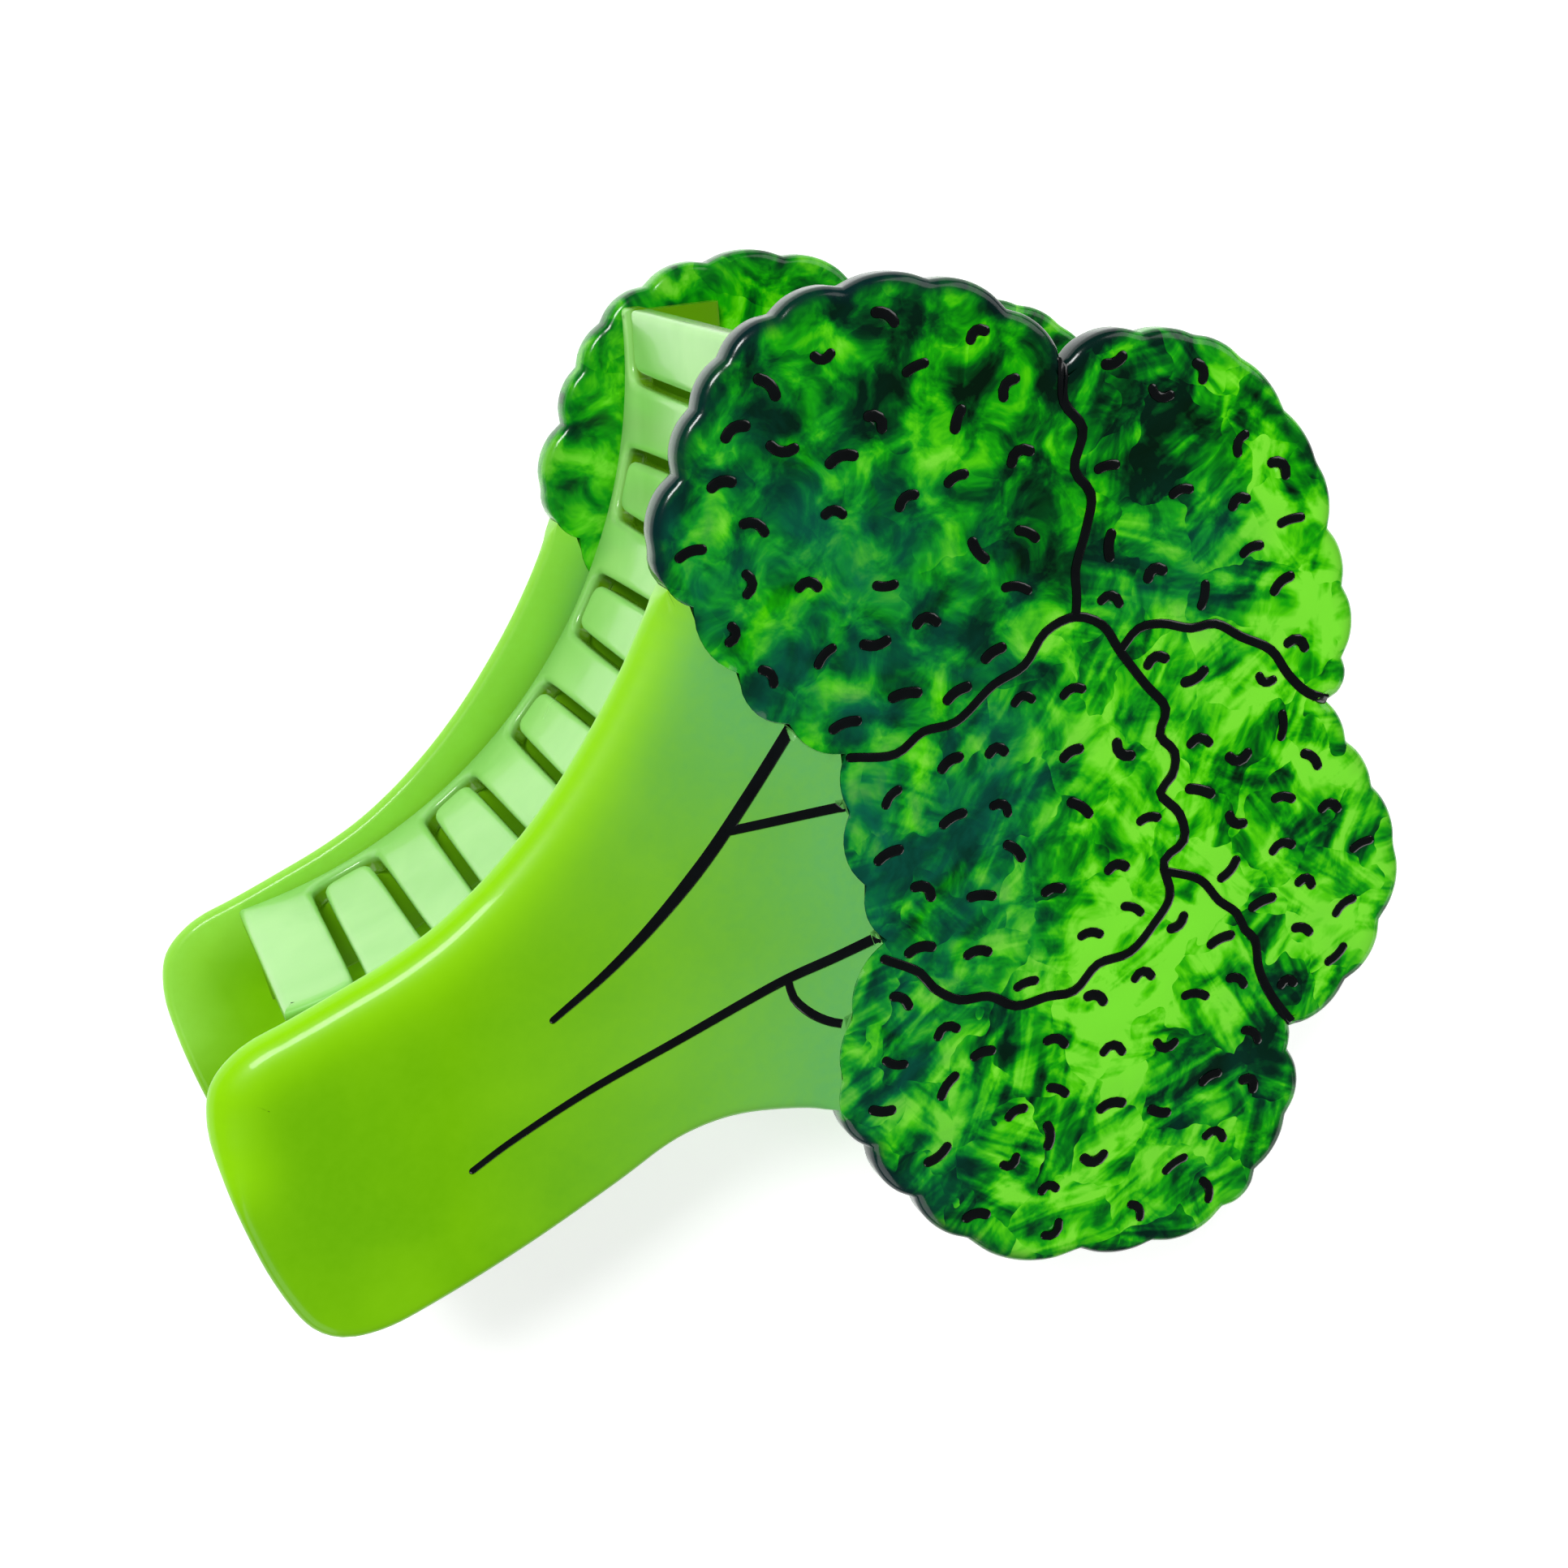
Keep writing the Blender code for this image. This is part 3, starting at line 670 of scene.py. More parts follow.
def clip_to(feature, loop):
    """A feature whose ends may pass the sheet's flat, pulled back inside it."""
    within = inside(feature, loop)
    if within.all():
        return feature
    if not within.any():
        return None
    centre_in = feature[within]
    moved = feature.copy()
    for index in np.where(~within)[0]:
        nearest = centre_in[np.argmin(np.linalg.norm(centre_in - feature[index], axis=1))]
        moved[index] = nearest + (feature[index] - nearest) * 0.02
    return moved


def seam_run(start, end):
    """The part of the middle floret's seam between the points nearest to two places."""
    path = np.array(SEAMS[0][1])
    first = int(np.argmin(np.linalg.norm(path - start, axis=1)))
    last = int(np.argmin(np.linalg.norm(path - end, axis=1)))
    return path[first : last + 1] if first <= last else path[last : first + 1][::-1]


def floret_areas():
    """Closed outlines of the middle, comb-side, side and far florets. The rest is the last one."""
    middle, comb_seam, side_seam, far_seam = [np.array(points) for _, points in SEAMS]
    fork = comb_seam[-1]
    above = [(-20, 20), (0, 70), (70, 70)]
    right = [(80, 40), (80, -40)]
    below = [(50, -70), (10, -70)]
    comb_side_floret = [comb_seam, seam_run(fork, middle[0]), above]
    side_floret = [comb_seam[::-1], right, side_seam[::-1], seam_run(side_seam[0], fork)]
    far_floret = [side_seam, below, far_seam[::-1], seam_run(far_seam[0], side_seam[0])]
    return [middle] + [np.vstack(runs) for runs in (comb_side_floret, side_floret, far_floret)]


def add_attribute(mesh, name, values):
    values = np.asarray(values, np.float32)
    kind = "FLOAT" if values.ndim == 1 else "FLOAT_VECTOR"
    attribute = mesh.attributes.new(name, kind, "POINT")
    attribute.data.foreach_set("value" if values.ndim == 1 else "vector", values.ravel())


def vertex_points(mesh):
    points = np.zeros(len(mesh.vertices) * 3)
    mesh.vertices.foreach_get("co", points)
    return points.reshape(-1, 3) / MM


def plan_points(mesh):
    return vertex_points(mesh)[:, :2]


def marble_and_painted_light(piece, jaw):
    """Gives each point of a crown sheet its tone and teal, partly marbling and partly painted light,
    how leafy its floret is, and its rim's painted shade.
    """
    points = plan_points(piece.data)
    patches = np.array(PATCHES)
    gap = np.linalg.norm(points[:, None, :] - patches[None, :, :2], axis=2)
    weight = np.exp(-((gap / patches[:, 2]) ** 2)) + 1e-6
    weight /= weight.sum(1)[:, None]
    tone = weight @ patches[:, 3]
    teal = weight @ patches[:, 4]
    # Painted light: the lower crown is painted brighter and less teal, for light shining through it.
    if jaw == "lower":
        tone = 0.45 + 0.5 * tone
        teal = 0.25 * teal
    floret = np.full(len(points), 4)
    for number, area in reversed(list(enumerate(floret_areas()))):
        floret[inside(points, area)] = number
    add_attribute(piece.data, "tone_and_painted_light", tone)
    add_attribute(piece.data, "teal", teal)
    add_attribute(piece.data, "leafy", np.array(FLORET_LEAFINESS)[floret])
    # Painted shade: the rim is painted dark away from the splice, and darkest on the comb side next
    # to the stem.
    free = OUTLINES["crown"][distance_to_loop(OUTLINES["crown"], OUTLINES["stem"]) > 1.5]
    gap = nearest_gap(points, free)
    shaded_side = np.clip(0.55 + (points[:, 1] - 8.0) / 30.0 - (points[:, 0] - 30.0) / 40.0, 0.3, 1.0)
    strength = shaded_side if jaw == "upper" else np.full(len(points), 0.35)
    add_attribute(piece.data, "rim", strength * np.clip(1.5 - gap / 0.9, 0, 1))


def milk(piece, jaw):
    """Gives each point of a stem sheet its nearness to the crown, a painted highlight along its
    comb-side edge, and a painted reflection on that edge's side wall.
    """
    points = plan_points(piece.data)
    near_crown = np.exp(-distance_to_loop(points, OUTLINES["crown"]) / MILK_REACH)
    add_attribute(piece.data, "milk", near_crown)
    # Painted highlight along the comb-side edge, and a painted reflection of white light on that
    # edge's side wall.
    edge = OUTLINES["stem"][comb_side(OUTLINES["stem"]) > 0.5]
    edge_highlight = np.exp(-((nearest_gap(points, edge[::2]) / EDGE_HIGHLIGHT_REACH) ** 2))
    low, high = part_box(piece["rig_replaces"][0])
    heights = vertex_points(piece.data)[:, 2]
    face = low.z / MM if jaw == "lower" else high.z / MM
    add_attribute(piece.data, "edge_highlight", edge_highlight)
    add_attribute(piece.data, "wall", edge_highlight * np.clip((np.abs(heights - face) - 1.6) / 0.9, 0, 1))


# Materials


def linear(red, green, blue):
    """A colour given as 0 to 255 display values."""
    values = [v / 255 for v in (red, green, blue)]
    return [v / 12.92 if v <= 0.04045 else ((v + 0.055) / 1.055) ** 2.4 for v in values] + [1.0]


class Finish:
    """A Principled material and a few short ways of adding nodes to it."""

    def __init__(self, name, roughness, metallic=0.0, coat=0.0, specular=0.5):
        self.material = bpy.data.materials.new(name)
        self.material.use_nodes = True
        self.tree = self.material.node_tree
        self.shader = self.tree.nodes["Principled BSDF"]
        self.set("Roughness", roughness)
        self.set("Metallic", metallic)
        self.set("Coat Weight", coat)
        self.set("Coat Roughness", 0.06)
        self.set("Specular IOR Level", specular)

    def set(self, socket, value):
        """Sets or links one of the shader's sockets."""
        self.feed(self.shader.inputs[socket], value)

    def feed(self, socket, value):
        if isinstance(value, bpy.types.NodeSocket):
            self.tree.links.new(value, socket)
        else:
            socket.default_value = value

    def attribute(self, name, output="Fac"):
        node = self.tree.nodes.new("ShaderNodeAttribute")
        node.attribute_name = name
        return node.outputs[output]

    def place(self, stretch=(1.0, 1.0, 1.0), turn=0.0):
        """Coordinates in the piece, in metres, stretched."""
        where = self.tree.nodes.new("ShaderNodeTexCoord")
        mapping = self.tree.nodes.new("ShaderNodeMapping")
        mapping.inputs["Scale"].default_value = stretch
        mapping.inputs["Rotation"].default_value = (0.0, 0.0, turn)
        self.tree.links.new(where.outputs["Object"], mapping.inputs["Vector"])
        return mapping.outputs["Vector"]

    def noise(self, where, scale, detail=4.0, distortion=0.0, roughness=0.55):
        node = self.tree.nodes.new("ShaderNodeTexNoise")
        self.feed(node.inputs["Vector"], where)
        values = {"Scale": scale, "Detail": detail, "Distortion": distortion, "Roughness": roughness}
        for name, value in values.items():
            node.inputs[name].default_value = value
        return node.outputs["Fac"]

    def flakes(self, place):
        """Grain that runs a different way in each irregular flake, and each flake's own value."""
        warp = self.tree.nodes.new("ShaderNodeTexNoise")
        warp.inputs["Scale"].default_value = 240.0
        self.feed(warp.inputs["Vector"], place)
        shifted = self.tree.nodes.new("ShaderNodeVectorMath")
        shifted.operation = "MULTIPLY_ADD"
        self.feed(shifted.inputs[0], warp.outputs["Color"])
        shifted.inputs[1].default_value = (0.006, 0.006, 0.0)
        self.feed(shifted.inputs[2], place)
        cells = self.tree.nodes.new("ShaderNodeTexVoronoi")
        cells.inputs["Scale"].default_value = 150.0
        self.feed(cells.inputs["Vector"], shifted.outputs["Vector"])
        parts = self.tree.nodes.new("ShaderNodeSeparateColor")
        self.feed(parts.inputs["Color"], cells.outputs["Color"])
        turned = self.tree.nodes.new("ShaderNodeVectorRotate")
        turned.rotation_type = "Z_AXIS"
        self.feed(turned.inputs["Vector"], place)
        self.feed(turned.inputs["Angle"], self.maths("MULTIPLY_ADD", parts.outputs["Red"], 2.6, -0.6))
        stretched = self.tree.nodes.new("ShaderNodeMapping")
        stretched.inputs["Scale"].default_value = (0.2, 1.0, 0.2)
        self.feed(stretched.inputs["Vector"], turned.outputs["Vector"])
        grain = self.noise(stretched.outputs["Vector"], 620.0, 2.0, 0.5)
        return grain, parts.outputs["Green"]

    def maths(self, operation, first, second, third=0.0, clamp=False):
        node = self.tree.nodes.new("ShaderNodeMath")
        node.operation = operation
        node.use_clamp = clamp
        for socket, value in zip(node.inputs, (first, second, third)):
            self.feed(socket, value)
        return node.outputs["Value"]

    def ramp(self, value, stops, smooth=False):
        node = self.tree.nodes.new("ShaderNodeValToRGB")
        node.color_ramp.interpolation = "EASE" if smooth else "LINEAR"
        elements = node.color_ramp.elements
        while len(elements) < len(stops):
            elements.new(0.5)
        for element, (position, colour) in zip(elements, stops):
            element.position = position
            element.color = colour
        self.feed(node.inputs["Fac"], value)
        return node.outputs["Color"]

    def mix(self, share, first, second):
        node = self.tree.nodes.new("ShaderNodeMix")
        node.data_type = "RGBA"
        self.feed(node.inputs["Factor"], share)
        self.feed(node.inputs[6], first)
        self.feed(node.inputs[7], second)
        return node.outputs[2]

    def bump(self, height, strength, distance):
        node = self.tree.nodes.new("ShaderNodeBump")
        node.inputs["Strength"].default_value = strength
        node.inputs["Distance"].default_value = distance
        self.feed(node.inputs["Height"], height)
        self.set("Normal", node.outputs["Normal"])


def crown_acetate():
    """Marbled green acetate under a clear polish: cloudy patches, leafy streaks and teal wisps. The
    tone and teal are partly marbling and partly painted light, and the rim is painted shade.
    """
    finish = Finish("crown_acetate", 0.2, coat=0.2, specular=0.2)
    place = finish.place()
    cloud = finish.noise(place, 270.0, 4.0, 0.5, 0.55)
    broad = finish.noise(place, 110.0, 2.0, 0.5)
    leaf, flake = finish.flakes(place)
    # The patches' tone is partly marbling and partly painted light shining through the crown.
    tone = finish.attribute("tone_and_painted_light")
    leafy = finish.attribute("leafy")
    # Bright areas hold crisp leafy flakes, dark ones soft clouds.
    value = finish.maths("MULTIPLY_ADD", finish.maths("SUBTRACT", cloud, 0.5), 2.4, tone)
    value = finish.maths("MULTIPLY_ADD", finish.maths("SUBTRACT", broad, 0.5), 0.5, value)
    for texture, strength in ((leaf, 1.9), (flake, 0.4)):
        leafier = finish.maths("MULTIPLY", finish.maths("SUBTRACT", texture, 0.5), leafy)
        value = finish.maths("MULTIPLY_ADD", leafier, strength, value)
    colour = finish.ramp(
        value,
        [
            (0.0, linear(0, 22, 6)),
            (0.2, linear(0, 66, 16)),
            (0.38, linear(2, 116, 8)),
            (0.56, linear(22, 164, 2)),
            (0.76, linear(78, 204, 4)),
            (1.0, linear(122, 228, 52)),
        ],
    )
    wisp = finish.noise(place, 150.0, 4.0, 1.2)
    wisp = finish.maths("MULTIPLY_ADD", wisp, 2.4, -0.7, clamp=True)
    share = finish.maths("MULTIPLY", wisp, finish.attribute("teal"), clamp=True)
    colour = finish.mix(share, colour, linear(6, 92, 74))
    # Painted shade: the crown's rim is painted dark teal.
    rim = finish.maths("MULTIPLY", finish.attribute("rim"), 0.92, clamp=True)
    finish.set("Base Color", finish.mix(rim, colour, linear(2, 34, 36)))
    finish.bump(finish.noise(place, 900.0, 3.0), 0.12, 0.0002)
    return finish.material


def stem_acetate():
    """Lime acetate, milky near the crown, with a painted highlight along its broad comb-side edge
    and a painted reflection of white light on that edge's side wall.
    """
    finish = Finish("stem_acetate", 0.3, coat=0.15, specular=0.15)
    place = finish.place()
    cloud = finish.noise(place, 45.0, 3.0, 0.4)
    grain = finish.noise(place, 1400.0, 2.0)
    lime = finish.ramp(
        cloud, [(0.3, linear(104, 176, 0)), (0.7, linear(122, 192, 0))], smooth=True
    )
    milky = finish.maths("MULTIPLY_ADD", finish.attribute("milk"), 1.25, -0.08, clamp=True)
    colour = finish.mix(milky, lime, linear(98, 176, 92))
    # Painted highlight along the comb-side edge, then a painted reflection of white light on its side
    # wall.
    edge_highlight = finish.maths("MULTIPLY", finish.attribute("edge_highlight"), 0.8, clamp=True)
    colour = finish.mix(edge_highlight, colour, linear(150, 224, 2))
    wall = finish.maths("MULTIPLY", finish.attribute("wall"), 0.75, clamp=True)
    colour = finish.mix(wall, colour, linear(150, 222, 84))
    speck = finish.maths("MULTIPLY_ADD", grain, 0.3, -0.08, clamp=True)
    finish.set("Base Color", finish.mix(speck, colour, linear(132, 200, 20)))
    finish.set("Roughness", finish.maths("MULTIPLY_ADD", cloud, 0.12, 0.26))
    finish.bump(finish.noise(place, 260.0, 3.0), 0.08, 0.0003)
    return finish.material


def comb_acetate():
    """Lime acetate painted paler, a painted reflection of white light on the comb, with a faint
    cloud and a satin polish. Its back is painted olive as painted shade.
    """
    finish = Finish("comb_acetate", 0.3, coat=0.2, specular=0.3)
    place = finish.place()
    cloud = finish.noise(place, 70.0, 3.0, 0.5)
    # The pale mint is a painted reflection of white light over the lime acetate.
    colour = finish.ramp(
        cloud, [(0.3, linear(134, 202, 98)), (0.7, linear(152, 214, 118))], smooth=True
    )
    # Painted shade: the comb is painted darker olive towards its back.
    behind = finish.maths("MULTIPLY_ADD", finish.attribute("behind"), 4.0, -0.7, clamp=True)
    finish.set("Base Color", finish.mix(behind, colour, linear(92, 148, 6)))
    finish.set("Roughness", finish.maths("MULTIPLY_ADD", cloud, 0.1, 0.2))
    finish.bump(finish.noise(place, 300.0, 3.0), 0.06, 0.0003)
    return finish.material


def black_lacquer():
    """Glossy black lacquer, a little uneven where it was brushed in."""
    finish = Finish("black_lacquer", 0.16, coat=0.3)
    place = finish.place()
    cloud = finish.noise(place, 600.0, 3.0)
    finish.set("Base Color", finish.ramp(cloud, [(0.3, linear(0, 2, 3)), (0.8, linear(3, 8, 10))]))
    finish.set("Roughness", finish.maths("MULTIPLY_ADD", cloud, 0.12, 0.1))
    finish.bump(cloud, 0.2, 0.0001)
    return finish.material


def brushed_steel(name, low, high, stretch):
    """Steel with fine lines along one direction."""
    finish = Finish(name, 0.3, metallic=1.0)
    lines = finish.noise(finish.place(stretch), 1.0, 3.0)
    wear = finish.noise(finish.place(), 300.0, 3.0)
    colour = finish.ramp(lines, [(0.25, low), (0.75, high)])
    worn = finish.maths("MULTIPLY", wear, 0.25)
    finish.set("Base Color", finish.mix(worn, colour, linear(120, 118, 112)))
    finish.set("Roughness", finish.maths("MULTIPLY_ADD", lines, 0.2, 0.18))
    finish.bump(lines, 0.15, 0.00005)
    return finish.material


def pale_floor():
    """White paper that glows a little, so that it stays as white as the photo's."""
    finish = Finish("pale_floor", 0.9, specular=0.0)
    cloud = finish.noise(finish.place(), 3.0, 2.0)
    shades = [(0.0, (0.93, 0.93, 0.93, 1)), (1.0, (0.96, 0.96, 0.96, 1))]
    finish.set("Base Color", finish.ramp(cloud, shades))
    finish.set("Emission Color", (1.0, 1.0, 1.0, 1.0))
    finish.set("Emission Strength", FLOOR_GLOW)
    return finish.material


# Comb


def comb_place(along, height, depth):
    """A point of a comb's wall from its place along the arc, height, and depth behind its face."""
    angle = along / COMB_RADIUS
    radius = COMB_RADIUS + depth
    x = COMB_CENTRE[0] + radius * math.sin(angle)
    y = COMB_CENTRE[1] - radius * math.cos(angle)
    return (x, y, height)


def comb_outline(jaw):
    """The comb wall's outline unrolled flat: (along the arc, height)."""
    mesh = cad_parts[f"{jaw}_comb"].data
    mesh.calc_loop_triangles()
    points = np.array([vertex.co[:] for vertex in mesh.vertices]) / MM
    away = points[:, :2] - np.array(COMB_CENTRE)
    angle = np.arctan2(away[:, 0], -away[:, 1])
    radius = np.linalg.norm(away, axis=1)
    flat = np.c_[angle * COMB_RADIUS, points[:, 2], radius - COMB_RADIUS] * MM
    merged, index = np.unique(np.round(flat, 7), axis=0, return_inverse=True)
    index = index.reshape(-1)
    triangles = [tuple(index[k] for k in t.vertices) for t in mesh.loop_triangles]
    loops = slice_loops(merged, triangles, 2, COMB_WALL * MM * 0.5)
    return tidy_loop(max(loops, key=lambda loop: np.ptp(loop[:, 0]) * np.ptp(loop[:, 1])))


def comb_piece(jaw):
    """The fine comb: its upright wall with the teeth, and the foot glued to the jaw's plate."""
    outline = round_out(comb_outline(jaw), 0.6, 50, 50)
    rounds = np.tile(np.array(COMB_ROUND), (len(outline), 1))

    def relief(points):
        return COMB_WAVE * waves(points, COMB_WAVE_SIZE, COMB_WAVE_SEED)

    flat = inset(outline, rounds[:, 0])
    wall = sheet_mesh(
        f"{jaw}_comb_wall", outline, COMB_WALL, rounds, rounds, relief, [],
        (hexagons(flat, 1.1), hexagons(flat, 2.0)), comb_place,
    )  # fmt: skip
    low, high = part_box(f"{jaw}_comb")
    start, end = outline[:, 0].min() / COMB_RADIUS, outline[:, 0].max() / COMB_RADIUS
    foot_low = low.z / MM if jaw == "lower" else high.z / MM - COMB_FOOT_THICKNESS
    front, back = COMB_WALL - COMB_FOOT_SINK, COMB_WALL + COMB_FOOT
    foot_high = foot_low + COMB_FOOT_THICKNESS
    corners = [(front, foot_low), (back, foot_low), (back, foot_high), (front, foot_high)]
    section = inset_corners(np.array(corners), COMB_FOOT_ROUND)
    rings = []
    for step in range(COMB_FOOT_STEPS + 1):
        along = COMB_RADIUS * (start + (end - start) * (0.004 + 0.992 * step / COMB_FOOT_STEPS))
        rings.append([comb_place(along, z, depth) for depth, z in section])
    foot = tube(f"{jaw}_comb_foot", rings)
    for piece in (wall, foot):
        # How far behind the comb's face each point lies, for the painted shade on its back.
        points = vertex_points(piece.data)
        radius = np.linalg.norm(points[:, :2] - np.array(COMB_CENTRE), axis=1)
        add_attribute(piece.data, "behind", np.clip((radius - COMB_RADIUS) / COMB_WALL, 0, 1))
        piece.data.materials.append(MATERIALS["comb"])
        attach(piece, f"{jaw}_jaw")
    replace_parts(wall, f"{jaw}_comb")
    return wall, foot


def inset_corners(corners, radius, steps=3):
    """A closed outline with its corners rounded."""
    rounded = []
    for index, corner in enumerate(corners):
        before = corners[index - 1] - corner
        after = corners[(index + 1) % len(corners)] - corner
        before = before / np.linalg.norm(before) * radius
        after = after / np.linalg.norm(after) * radius
        for k in range(steps + 1):
            angle = math.pi / 2 * k / steps
            rounded.append(corner + before * (1 - math.sin(angle)) + after * (1 - math.cos(angle)))
    return np.array(rounded)


# Spring


def spring_piece():
    """The torsion spring as a smooth round wire, with one leg running to each jaw."""
    low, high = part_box("torsion_spring")
    pin_low, pin_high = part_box("hinge_pin")
    axis = (pin_low + pin_high) / 2 / MM
    leg = (high.z - low.z) / 2 / MM - WIRE_RADIUS
    length = COIL_TURNS * COIL_PITCH
    half = length / 2
    line = []
    for k in range(LEG_POINTS):
        share = k / LEG_POINTS
        line.append((-half, -LEG_REACH + (LEG_REACH - COIL_RADIUS) * share**1.6, -leg * (1 - share)))
    count = COIL_TURNS * TURN_POINTS
    for k in range(count + 1):
        angle = math.tau * k / TURN_POINTS
        x = -half + length * k / count
        line.append((x, -COIL_RADIUS * math.cos(angle), COIL_RADIUS * math.sin(angle)))
    for x, y, z in reversed(line[:LEG_POINTS]):
        line.append((-x, y, -z))
    points = [np.array(p) + np.array(axis) for p in line]
    ways = np.gradient(np.array(points), axis=0)
    rings = []
    for point, way in zip(points, ways):
        way = Vector(way).normalized()
        side = way.cross(Vector((1.0, 0.0, 0.0)))
        side = side.normalized() if side.length > 0.1 else Vector((0.0, 1.0, 0.0))
        up = way.cross(side).normalized()
        ring = []
        for k in range(WIRE_SIDES):
            angle = math.tau * k / WIRE_SIDES
            around = side * math.cos(angle) + up * math.sin(angle)
            ring.append(tuple(Vector(point) + around * WIRE_RADIUS))
        rings.append(ring)
    spring = tube("spring_wire", rings)
    spring.data.materials.append(MATERIALS["spring"])
    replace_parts(spring, "torsion_spring")
    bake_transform(spring)
    return spring


# Building


def comb_side(loop):
    """How far each outline point belongs to the stem's broad comb-side edge, 0 to 1."""
    way = np.roll(loop, -1, axis=0) - np.roll(loop, 1, axis=0)
    way /= np.linalg.norm(way, axis=1)[:, None]
    outward_y = -way[:, 0]
    share = np.clip((outward_y - 0.35) / 0.3, 0, 1) * (loop[:, 0] > -43.0)
    return share * (1 - near_splice(loop))


def near_splice(loop):
    """Which outline points lie on the crown, as 0 or 1."""
    return (distance_to_loop(loop, OUTLINES["crown"]) < SPLICE_REACH).astype(float)


def smooth_round(values, times):
    """Values round an outline, evened out between neighbours."""
    for _ in range(times):
        values = (np.roll(values, 1) + 2 * values + np.roll(values, -1)) / 4
    return values


def stem_rounds(loop):
    """The stem's edge rounding on each face: wide on the comb side, nearly none at the splice."""
    splice = near_splice(loop)
    comb = smooth_round(comb_side(loop), 14)
    splice = np.maximum(splice, smooth_round(splice, 2))
    fronts = []
    backs = []
    for share, closed in zip(comb, splice):
        width = TOP_ROUND[0] + (STEM_COMB_ROUND[0] - TOP_ROUND[0]) * share
        depth = TOP_ROUND[1] + (STEM_COMB_ROUND[1] - TOP_ROUND[1]) * share
        keep = 1 - SPLICE_SHRINK * min(1.0, closed)
        fronts.append((width * keep, depth * keep))
        backs.append((BACK_ROUND[0] * keep, BACK_ROUND[1] * keep))
    return np.array(fronts), np.array(backs)


def crown_rounds(loop):
    """The crown's edge rounding on each face, nearly none at the splice."""
    gap = distance_to_loop(loop, OUTLINES["stem"])
    splice = smooth_round((gap < SPLICE_REACH).astype(float), 2)
    keep = 1 - SPLICE_SHRINK * splice
    fronts = np.c_[TOP_ROUND[0] * keep, TOP_ROUND[1] * keep]
    backs = np.c_[BACK_ROUND[0] * keep, BACK_ROUND[1] * keep]
    return fronts, backs


def close_splice(stem, crown):
    """The stem's outline moved onto the crown's where the two plates are spliced."""
    closed = np.vstack([crown, crown[:1]])
    moved = stem.copy()
    for index, point in enumerate(stem):
        starts = closed[:-1]
        ways = closed[1:] - starts
        share = np.clip(np.sum((point - starts) * ways, 1) / np.sum(ways * ways, 1), 0, 1)
        nearest = starts + share[:, None] * ways
        gaps = np.linalg.norm(nearest - point, axis=1)
        best = int(np.argmin(gaps))
        if gaps[best] < SPLICE_REACH:
            moved[index] = nearest[best] + (point - nearest[best]) * 0.06
    return moved


OUTLINES = {
    "crown": round_out(outline_of("upper_crown_plate"), 0.45, 14, 60),
    "stem": round_out(outline_of("upper_stem_plate"), 0.7, 27, 27),
}
OUTLINES["stem"] = close_splice(OUTLINES["stem"], OUTLINES["crown"])

MATERIALS = {
    "crown": crown_acetate(),
    "stem": stem_acetate(),
    "comb": comb_acetate(),
    "lacquer": black_lacquer(),
    "leaf": brushed_steel(
        "leaf_steel", linear(150, 150, 148), linear(214, 214, 210), (60.0, 4000.0, 4000.0)
    ),
    "spring": brushed_steel(
        "spring_steel", linear(140, 140, 138), linear(205, 205, 202), (900.0, 900.0, 900.0)
    ),
}

for jaw in JAWS:
    crown_marks = Marks(SEAMS)
    scatter_beans(crown_marks, OUTLINES["crown"], BEAN_SEEDS[jaw])
    crown, _ = plate_piece(jaw, "crown", crown_marks, crown_rounds, MATERIALS["crown"], SEAM_NODES)
    marble_and_painted_light(crown, jaw)
    stem, _ = plate_piece(jaw, "stem", Marks(VEINS), stem_rounds, MATERIALS["stem"], VEIN_NODES)
    milk(stem, jaw)
    comb_piece(jaw)

for name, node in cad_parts.items():
    if node.hide_render:
        continue
    if "leaf" in name or "rivet" in name or "pin" in name:
        node.data.materials.clear()
        node.data.materials.append(MATERIALS["leaf"])

spring_piece()


# Floor, light and camera


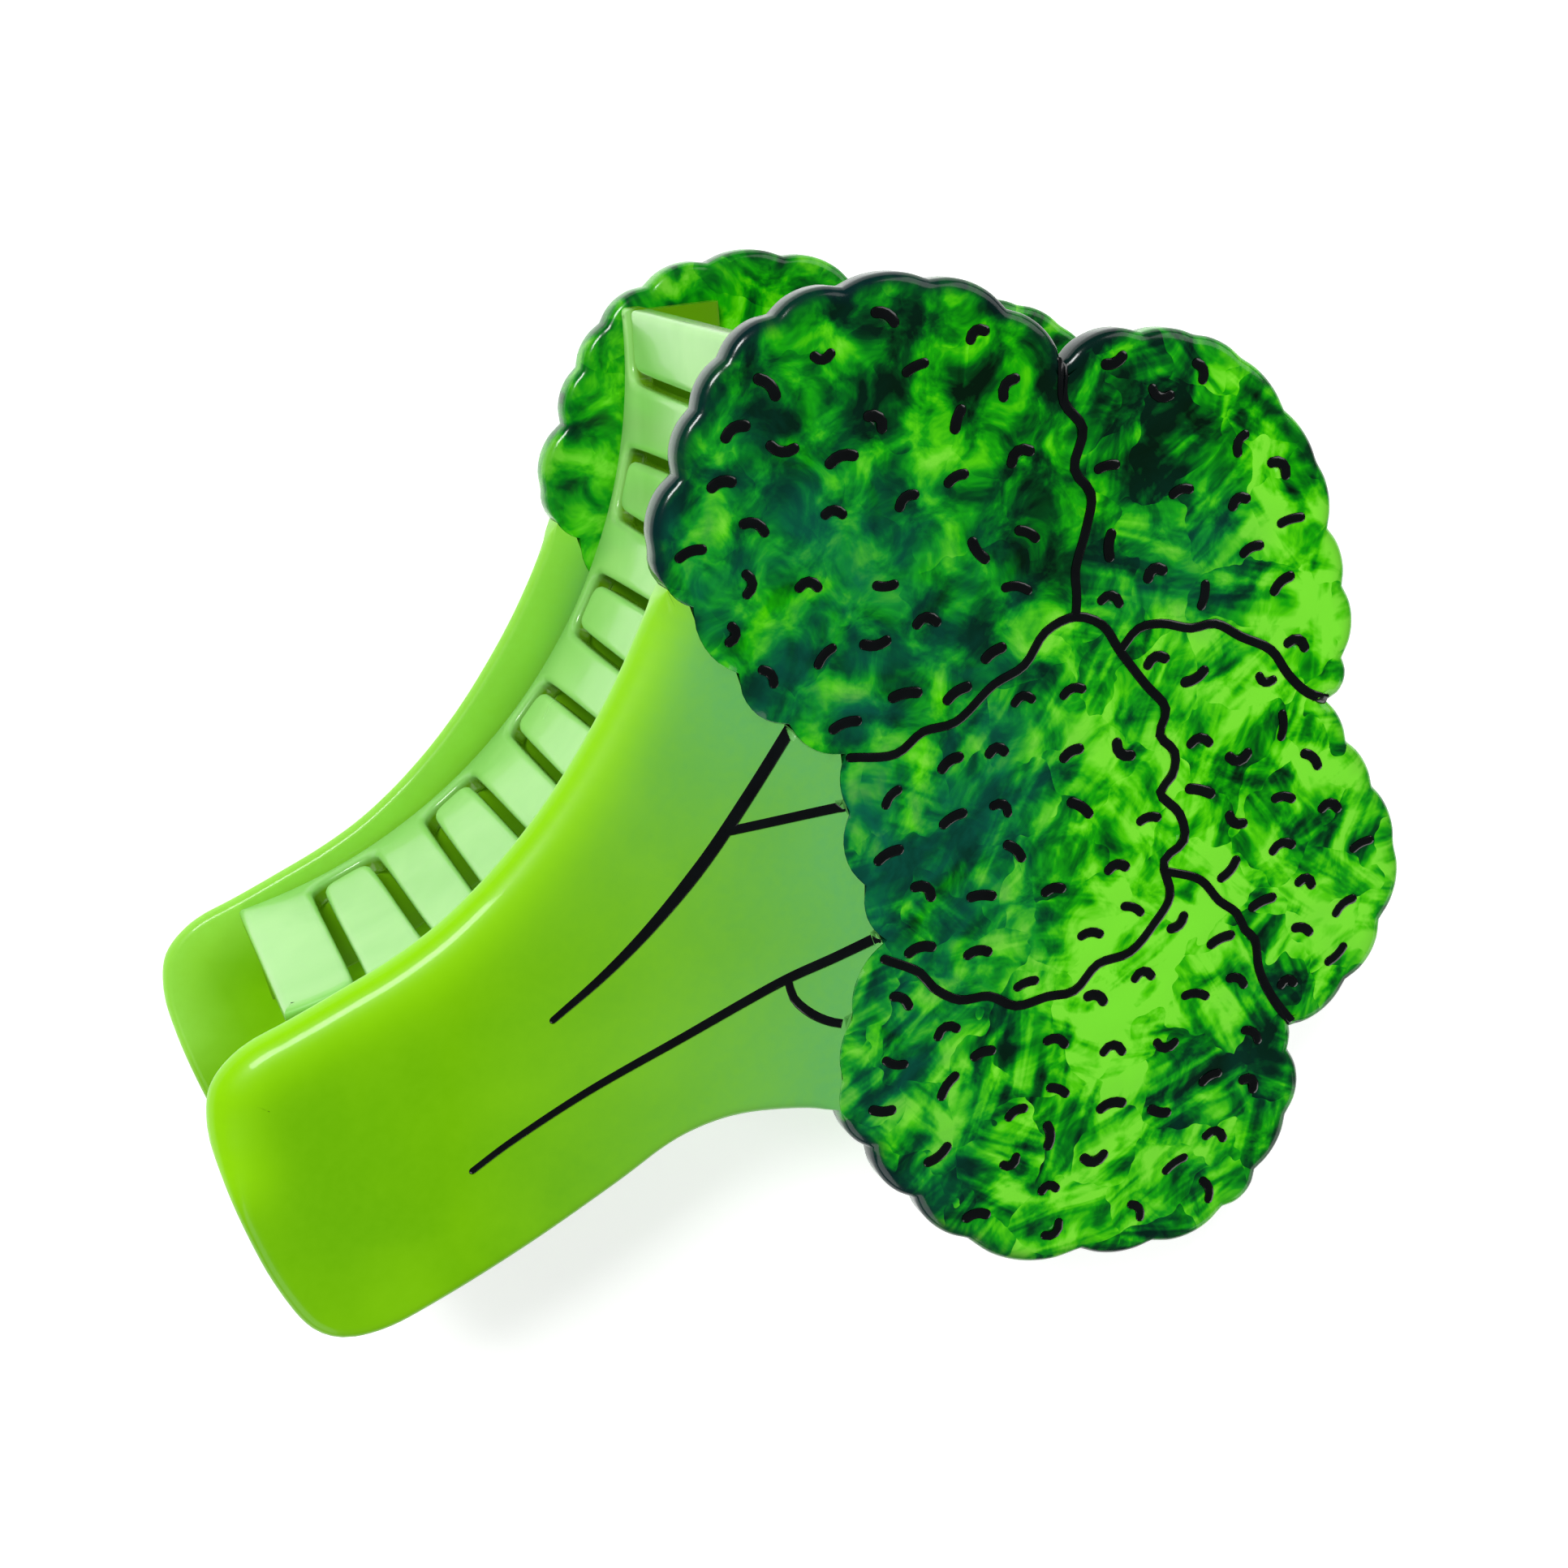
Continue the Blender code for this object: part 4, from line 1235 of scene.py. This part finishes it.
def look_along(backward, up):
    """A rotation whose Z axis is `backward` and whose Y axis leans to `up`."""
    z_axis = Vector(backward).normalized()
    x_axis = Vector(up).cross(z_axis).normalized()
    y_axis = z_axis.cross(x_axis)
    return Matrix((x_axis, y_axis, z_axis)).transposed()


def make_floor():
    mesh = bpy.data.meshes.new("floor")
    half = FLOOR_SIZE / 2
    level = cad_bounds[0].z
    corners = [(-half, -half, level), (half, -half, level), (half, half, level), (-half, half, level)]
    mesh.from_pydata(corners, [], [(0, 1, 2, 3)])
    mesh.materials.append(pale_floor())
    floor = bpy.data.objects.new("floor", mesh)
    bpy.context.scene.collection.objects.link(floor)


def make_world():
    """White where the camera sees it, dimmer as a light."""
    world = bpy.data.worlds.new("studio")
    world.use_nodes = True
    tree = world.node_tree
    background = tree.nodes["Background"]
    background.inputs["Color"].default_value = (1.0, 1.0, 1.0, 1.0)
    path = tree.nodes.new("ShaderNodeLightPath")
    strength = tree.nodes.new("ShaderNodeMath")
    strength.operation = "MULTIPLY_ADD"
    strength.inputs[1].default_value = WORLD_SHOWN - WORLD_LIGHT
    strength.inputs[2].default_value = WORLD_LIGHT
    tree.links.new(path.outputs["Is Camera Ray"], strength.inputs[0])
    tree.links.new(strength.outputs["Value"], background.inputs["Strength"])
    bpy.context.scene.world = world


def make_lights():
    for number, (place, size, power) in enumerate(SOFTBOXES):
        lamp = bpy.data.lights.new(f"softbox_{number + 1}", "AREA")
        lamp.size = size
        lamp.energy = power
        softbox = bpy.data.objects.new(lamp.name, lamp)
        softbox.location = place
        softbox.rotation_euler = look_along(Vector(place), (0.0, 0.1, 1.0)).to_euler()
        bpy.context.scene.collection.objects.link(softbox)


def make_camera():
    data = bpy.data.cameras.new("camera")
    data.lens = CAMERA_LENS
    data.sensor_width = 36.0
    data.clip_start = 0.005
    camera = bpy.data.objects.new("camera", data)
    place = Vector(CAMERA_PLACE) * MM
    rotation = look_along(place - Vector(CAMERA_TARGET) * MM, CAMERA_UP)
    camera.matrix_world = Matrix.Translation(place) @ rotation.to_4x4()
    bpy.context.scene.collection.objects.link(camera)
    bpy.context.scene.camera = camera


make_floor()
make_world()
make_lights()
make_camera()
bpy.context.scene.view_settings.view_transform = "Standard"
